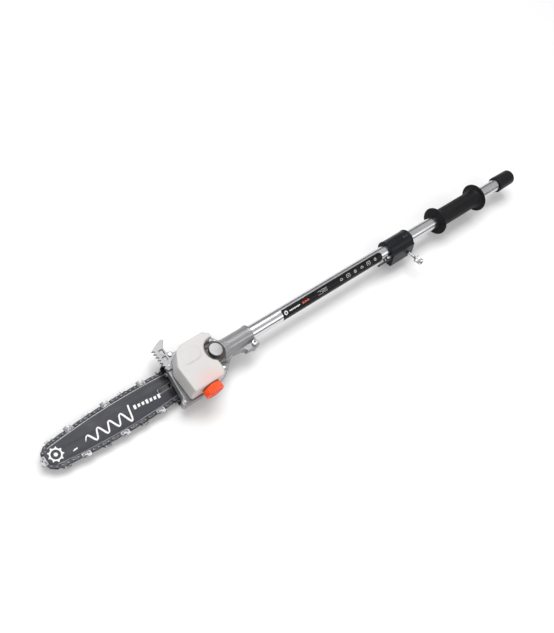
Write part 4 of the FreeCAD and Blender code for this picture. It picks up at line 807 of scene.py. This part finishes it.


# ------------------------------------------------------------------ oil tank
# A blow-moulded tank of milky polyethylene. Its edges are thick and soft and its walls are slightly
# cloudy. Round the filler an orange tint is painted into the plastic's colour as a painted glow of light through
# the cap.

tank_low, tank_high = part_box("oil_tank")
filler = Vector(joint_named("oil_cap_turn")["pos_m"])
tank_plastic, tank_shader = new_material("milky_plastic", (0.70, 0.68, 0.67), 0, 0.36)
tank_shader.inputs["Subsurface Weight"].default_value = 0.35
tank_shader.inputs["Subsurface Radius"].default_value = (0.009, 0.007, 0.006)
tank_shader.inputs["Subsurface Scale"].default_value = 0.6
tank_shader.inputs["Coat Weight"].default_value = 0.10
tree = tank_plastic.node_tree
tank_skin = use_group(tree, moulded_skin, Grain_Scale=700, Bloom_Scale=22)
milk = add_node(tree, "ShaderNodeMix", {
    "Factor": tank_skin.outputs["Bloom"], 6: (0.49, 0.478, 0.470, 1), 7: (0.61, 0.597, 0.588, 1)},
    data_type="RGBA")
spot = add_node(tree, "ShaderNodeTexCoord")
away = add_node(tree, "ShaderNodeVectorMath", {
    0: spot.outputs["Object"], 1: (filler.x, filler.y, filler.z)}, operation="DISTANCE")
# Near the filler the tank's colour is tinted orange: a painted glow standing in for light through the cap.
painted_glow_mask = add_node(tree, "ShaderNodeMapRange", {
    "Value": away.outputs["Value"], "From Min": 0.018, "From Max": 0.046, "To Min": 0.32,
    "To Max": 0.0}, interpolation_type="SMOOTHSTEP")
glow_painted_tone = add_node(tree, "ShaderNodeMix", {
    "Factor": painted_glow_mask.outputs["Result"], 6: milk.outputs[2], 7: (0.80, 0.30, 0.25, 1)},
    data_type="RGBA")
haze = add_node(tree, "ShaderNodeMapRange", {
    "Value": tank_skin.outputs["Bloom"], "From Min": 0.3, "From Max": 0.7, "To Min": 0.30,
    "To Max": 0.44})
orange_peel = add_node(tree, "ShaderNodeBump", {
    "Height": tank_skin.outputs["Grain"], "Strength": 0.12, "Distance": 0.0002})
tree.links.new(glow_painted_tone.outputs[2], tank_shader.inputs["Base Color"])
tree.links.new(haze.outputs["Result"], tank_shader.inputs["Roughness"])
tree.links.new(orange_peel.outputs["Normal"], tank_shader.inputs["Normal"])


def tank_pads(bm):
    """A low pad on the top, round behind and square in front."""
    middle_x, middle_y, half = tank_low.x + 0.050, -0.014, 0.013
    under, over = tank_high.z - 0.0014, tank_high.z + 0.0006
    add_rod(bm, (middle_x, middle_y, under), (middle_x, middle_y, over), half, segments=72)
    add_block(bm, (middle_x, middle_y - half, under), (middle_x + 0.024, middle_y + half, over))


cast("oil_tank", tank_plastic, 0.0009, 14, tank_pads, sharp=80)


# ------------------------------------------------------------------ filler cap
# A screw cap of glossy orange plastic with finger grooves round its side and a bar across its
# face, on a rubber gasket.

cap_low, cap_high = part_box("oil_cap")
knob_radius = (cap_high.x - cap_low.x) / 2
knob_length = cap_high.y - cap_low.y
knob_bore = 0.0133
groove_count, groove_depth = 24, 0.0011
orange = moulded_finish("orange_plastic", (0.85, 0.066, 0.006), (0.98, 0.10, 0.012),
                        0.26, 0.38, 900, 0.08, specular=0.3)


def knob_shape(distance, radius, turn):
    """Finger grooves that run out before either end of the cap."""
    if radius < knob_radius - 0.0007:
        return 0
    fade = min(1.0, max(0.0, (distance - 0.0016) / 0.0012),
               max(0.0, (knob_length - 0.0014 - distance) / 0.0018))
    wave = (1 + math.cos(groove_count * turn)) / 2
    return -groove_depth * fade * wave ** 2


knob_profile = [(0, knob_bore), (0, knob_radius - 0.0006), (0.0006, knob_radius - 0.0001)]
knob_profile += [(0.0012 + 0.0008 * step, knob_radius) for step in range(14)]
for step in range(6):
    turn = math.pi / 2 * step / 5
    knob_profile.append((knob_length - 0.0012 + 0.0012 * math.sin(turn),
                         knob_radius - 0.0014 + 0.0014 * math.cos(turn)))
knob_profile += [(knob_length, knob_radius - 0.0032), (knob_length - 0.0012, knob_radius - 0.0038),
                 (knob_length - 0.0012, 0.0002), (knob_length - 0.0050, 0.0002),
                 (knob_length - 0.0050, knob_bore)]
finish_mesh("oil_cap_moulded",
            turn_profile(knob_profile, (filler.x, cap_low.y, filler.z), (0, 1, 0), 240, knob_shape),
            "oil_cap", orange, sharp=40, replaced=("oil_cap",))
grip_bm = bmesh.new()
add_block(grip_bm, (filler.x - 0.0125, cap_high.y - 0.0022, filler.z - 0.0026),
          (filler.x + 0.0125, cap_high.y, filler.z + 0.0026))
bmesh.ops.bevel(grip_bm, geom=list(grip_bm.edges), offset=0.0007, segments=3, profile=0.6,
                affect="EDGES")
finish_mesh("oil_cap_bar", grip_bm, "oil_cap", orange, sharp=40)
gasket_rubber = moulded_finish("gasket_rubber", (0.012, 0.012, 0.012), (0.03, 0.03, 0.03),
                               0.5, 0.65, 1500, 0.2)
machined("cap_gasket", gasket_rubber, 0.0004)


# ------------------------------------------------------------------ oil pump, pipe and filter
# The pump sits in a pocket of the casting and draws oil through a felt filter in the tank.

machined("oil_pump", bush_nylon, 0.0008)
machined("oil_line", bush_nylon, 0.0002)
felt = moulded_finish("felt", (0.40, 0.38, 0.33), (0.60, 0.57, 0.50), 0.85, 0.95, 2600, 0.8)
machined("oil_filter", felt, 0.0006)


# ------------------------------------------------------------------ screws of the head
# Plated pan-head screws sit in the casting and hold the tank and the bumper. A socket bolt
# closes the split neck on the tube.

for node in ("case_screws", "tank_screws", "bumper_screws", "neck_bolt"):
    machined(node, zinc, 0.0005)


# ------------------------------------------------------------------ bumper spike
# A cast aluminium spike screwed to the front of the casting, with teeth that bite into a branch
# and a swept arm above them.

spike_metal = cast_finish("spike_aluminium", (0.22, 0.22, 0.23), (0.34, 0.34, 0.35), 0.6, 0.34, 0.50)
cast("bumper_spike", spike_metal, 0.00045, 3)


# ------------------------------------------------------------------ guide bar
# Laminated steel plates, painted dark and bare along the rails where the chain runs. Each side is
# printed with a plain pen-stroke wave, a row of blocks and a star round the nose sprocket.

bar_low, bar_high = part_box("guide_bar")
belly_x, belly_y, belly_radius = 1.10718, -1.31969, 1.34584
bar_material, bar_shader = new_material("painted_bar", (0.06, 0.062, 0.072), 0, 0.35)
bar_shader.inputs["Specular IOR Level"].default_value = 0.25
slot_half, slot_end = 0.0043, 1.0473
# Where the painted shade of the casting on the bar's tail fades out along the bar.
shade_from, shade_to = 1.021, 1.031
tree = bar_material.node_tree
spot = add_node(tree, "ShaderNodeTexCoord")
parts = add_node(tree, "ShaderNodeSeparateXYZ", {"Vector": spot.outputs["Object"]})
side = add_node(tree, "ShaderNodeMath", {0: parts.outputs["Y"]}, operation="ABSOLUTE")
folded = add_node(tree, "ShaderNodeCombineXYZ", {"X": parts.outputs["X"], "Y": side.outputs[0]})
from_centre = add_node(tree, "ShaderNodeVectorMath", {
    0: folded.outputs["Vector"], 1: (belly_x, belly_y, 0.0)}, operation="DISTANCE")
bar_skin = use_group(tree, drawn_lines, Across=900, Along=160)
ragged = add_node(tree, "ShaderNodeMath", {
    0: bar_skin.outputs["Smudge"], 1: 0.0016, 2: from_centre.outputs["Value"]},
    operation="MULTIPLY_ADD")
rail = add_node(tree, "ShaderNodeMapRange", {
    "Value": ragged.outputs[0], "From Min": belly_radius - 0.0009, "From Max": belly_radius + 0.0003})
paint = add_node(tree, "ShaderNodeMix", {
    "Factor": bar_skin.outputs["Line"], 6: (0.026, 0.027, 0.034, 1), 7: (0.062, 0.063, 0.074, 1)},
    data_type="RGBA")
# Behind the casting's front edge the paint is darkened to near black, with a ragged edge: painted shade of the
# casting on the bar.
shade_edge = add_node(tree, "ShaderNodeMath", {
    0: bar_skin.outputs["Smudge"], 1: -0.010, 2: parts.outputs["X"]}, operation="MULTIPLY_ADD")
painted_casting_shade = add_node(tree, "ShaderNodeMapRange", {
    "Value": shade_edge.outputs[0], "From Min": shade_from, "From Max": shade_to, "To Min": 1.0,
    "To Max": 0.0}, interpolation_type="SMOOTHSTEP")
shade_darkened_paint = add_node(tree, "ShaderNodeMix", {
    "Factor": painted_casting_shade.outputs["Result"], 6: paint.outputs[2], 7: (0.010, 0.010, 0.012, 1)},
    data_type="RGBA")
beside_slot = add_node(tree, "ShaderNodeMath", {0: side.outputs[0], 1: slot_half + 0.0004},
                       operation="LESS_THAN")
behind_end = add_node(tree, "ShaderNodeMath", {0: parts.outputs["X"], 1: slot_end + 0.0004},
                      operation="LESS_THAN")
milled = add_node(tree, "ShaderNodeMath", {0: beside_slot.outputs[0], 1: behind_end.outputs[0]},
                  operation="MULTIPLY")
bare = add_node(tree, "ShaderNodeMath", {0: rail.outputs["Result"], 1: milled.outputs[0]},
                operation="MAXIMUM")
worn = add_node(tree, "ShaderNodeMix", {
    "Factor": bare.outputs[0], 6: shade_darkened_paint.outputs[2], 7: (0.30, 0.30, 0.31, 1)},
    data_type="RGBA")
gloss = add_node(tree, "ShaderNodeMapRange", {
    "Value": bar_skin.outputs["Smudge"], "From Min": 0.3, "From Max": 0.7, "To Min": 0.36,
    "To Max": 0.52})
relief = add_node(tree, "ShaderNodeBump", {
    "Height": bar_skin.outputs["Line"], "Strength": 0.05, "Distance": 0.0002})
tree.links.new(worn.outputs[2], bar_shader.inputs["Base Color"])
tree.links.new(bare.outputs[0], bar_shader.inputs["Metallic"])
tree.links.new(gloss.outputs["Result"], bar_shader.inputs["Roughness"])
tree.links.new(relief.outputs["Normal"], bar_shader.inputs["Normal"])
machined("guide_bar", bar_material, 0.0002)


def flat_strip(bm, pairs, surface, outward, thickness=print_thickness):
    """A printed strip on a face of the bar, from pairs of points on its two edges."""
    edge = surface + outward * thickness
    under = [[bm.verts.new((x, y, surface)) for x, y in pair] for pair in pairs]
    over = [[bm.verts.new((x, y, edge)) for x, y in pair] for pair in pairs]
    for (a, b), (c, d), (e, f), (g, h) in zip(under, under[1:], over, over[1:]):
        for corners in ((a, b, d, c), (e, g, h, f), (a, c, g, e), (b, f, h, d)):
            bm.faces.new(corners)
    for (a, b), (e, f) in ((under[0], over[0]), (under[-1], over[-1])):
        bm.faces.new((a, b, f, e))


nose_x = joint_named("nose_sprocket_spin")["pos_m"][0]
star_points = 9
wave_start, wave_run, wave_steps = 1.1075, 0.098, 180
block_start, block_pitch = 1.0475, 0.0081


def polar(radius, turn):
    """A point of the bar's face, from the middle of the nose sprocket."""
    return nose_x + radius * math.cos(turn), radius * math.sin(turn)


def star_edge(turn):
    """How far out the star's edge lies: a round rim with a blunt point over each tooth gap."""
    off = abs((turn * star_points / (2 * math.pi)) % 1 - 0.5)
    return 0.0112 + 0.0029 * min(1.0, max(0.0, (off - 0.25) / 0.20))


def wave(share):
    """The middle line of the wave: tall at first, then even, then running out flat."""
    height = 0.0165 - 0.0075 * min(1.0, share / 0.22) - 0.004 * max(0.0, share - 0.8) / 0.2
    return wave_start + wave_run * share, 0.0065 + height * math.cos(2 * math.pi * (4.25 * share + 0.55))


def wave_pair(share):
    """Two edge points of the wave, thick on the slopes and thin at the turns like a pen stroke."""
    x, y = wave(share)
    after_x, after_y = wave(share + 0.002)
    heading = math.atan2(after_y - y, after_x - x)
    half = (0.0007 + 0.0011 * abs(math.sin(heading - 0.35))) * min(1.0, 0.3 + 12 * (1 - share))
    side_x, side_y = -math.sin(heading) * half, math.cos(heading) * half
    return (x + side_x, y + side_y), (x - side_x, y - side_y)


def bar_marks(bm, surface, outward):
    """A pen-stroke wave, a row of small blocks behind it and a nine-point star at the nose."""
    flat_strip(bm, [wave_pair(step / wave_steps) for step in range(wave_steps + 1)], surface, outward)
    for number in range(7):
        x = block_start + block_pitch * number
        y = 0.0062 - 0.0009 * number
        half = 0.0038 if number % 3 == 0 else 0.0028
        flat_strip(bm, [((x, y - half), (x + 0.0014, y + half)),
                        ((x + 0.0050, y - half), (x + 0.0060, y + half))], surface, outward)
    flat_strip(bm, [((1.2225, 0.0085), (1.2235, 0.0110)), ((1.2290, 0.0085), (1.2330, 0.0110))],
               surface, outward)
    turns = [2 * math.pi * step / 144 for step in range(145)]
    flat_strip(bm, [(polar(0.0086, turn), polar(star_edge(turn), turn)) for turn in turns],
               surface, outward)
    flat_strip(bm, [(polar(0.0001, turn), polar(0.0034, turn)) for turn in turns[::4]],
               surface, outward)


marks_bm = bmesh.new()
bar_marks(marks_bm, bar_high.z, 1)
bar_marks(marks_bm, bar_low.z, -1)
finish_mesh("guide_bar_marks", marks_bm, "bar", print_white)
machined("nose_race", dark_zinc, 0.0002)
machined("nose_rivets", dark_zinc, 0.0002)
machined("nose_sprocket", shaft_steel, 0.0001)
machined("drive_sprocket", shaft_steel, 0.0002)


# ------------------------------------------------------------------ bar fixing
# A stud in the casting and a nut behind the cover clamp the bar. A long screw moves a block
# whose pin pushes the bar out to tighten the chain.

machined("bar_stud", zinc, 0.0004)
machined("bar_nut", zinc, 0.0004)
machined("tension_block", zinc, 0.0003)
machined("tension_screw", zinc, 0.0003)


# ------------------------------------------------------------------ chain
# Low-profile saw chain of blued steel: drive links in the groove, tie straps on both sides and
# chromed cutters to the left and right in turn, all on small rivets.

link_steel = metal_finish("blued_links", (0.022, 0.023, 0.027), (0.075, 0.075, 0.082), 0.28, 0.44,
                          across=900, along=700, bump=0.06)
cutter_steel = metal_finish("chromed_cutters", (0.09, 0.09, 0.095), (0.24, 0.24, 0.25), 0.22, 0.36,
                            across=700, along=500, bump=0.05)
rivet_steel = metal_finish("bright_rivets", (0.06, 0.06, 0.065), (0.16, 0.16, 0.165), 0.26, 0.4,
                           across=500, along=500, bump=0.05)
machined("chain_drive_links", link_steel, 0.00012)
machined("chain_tie_straps", link_steel, 0.00018)
machined("chain_cutters", cutter_steel, 0.00018)
machined("chain_rivets", rivet_steel, 0.00025)


# ------------------------------------------------------------------ chain cover
# A dished black plastic cover over the drive sprocket, open at the front for the bar and the
# chain. Moulded ribs stiffen its outer face.

cover_low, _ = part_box("sprocket_cover")
cover_plastic = moulded_finish("cover_plastic", (0.014, 0.014, 0.016), (0.034, 0.034, 0.038),
                               0.36, 0.5, 1100, 0.35)


def cover_ribs(bm):
    """Six ribs across the outer face."""
    for number in range(6):
        x = cover_low.x + 0.022 + 0.0085 * number
        add_block(bm, (x, -0.030, cover_low.z - 0.0009), (x + 0.0035, 0.034, cover_low.z + 0.001))


cast("sprocket_cover", cover_plastic, 0.0008, 4, cover_ribs)
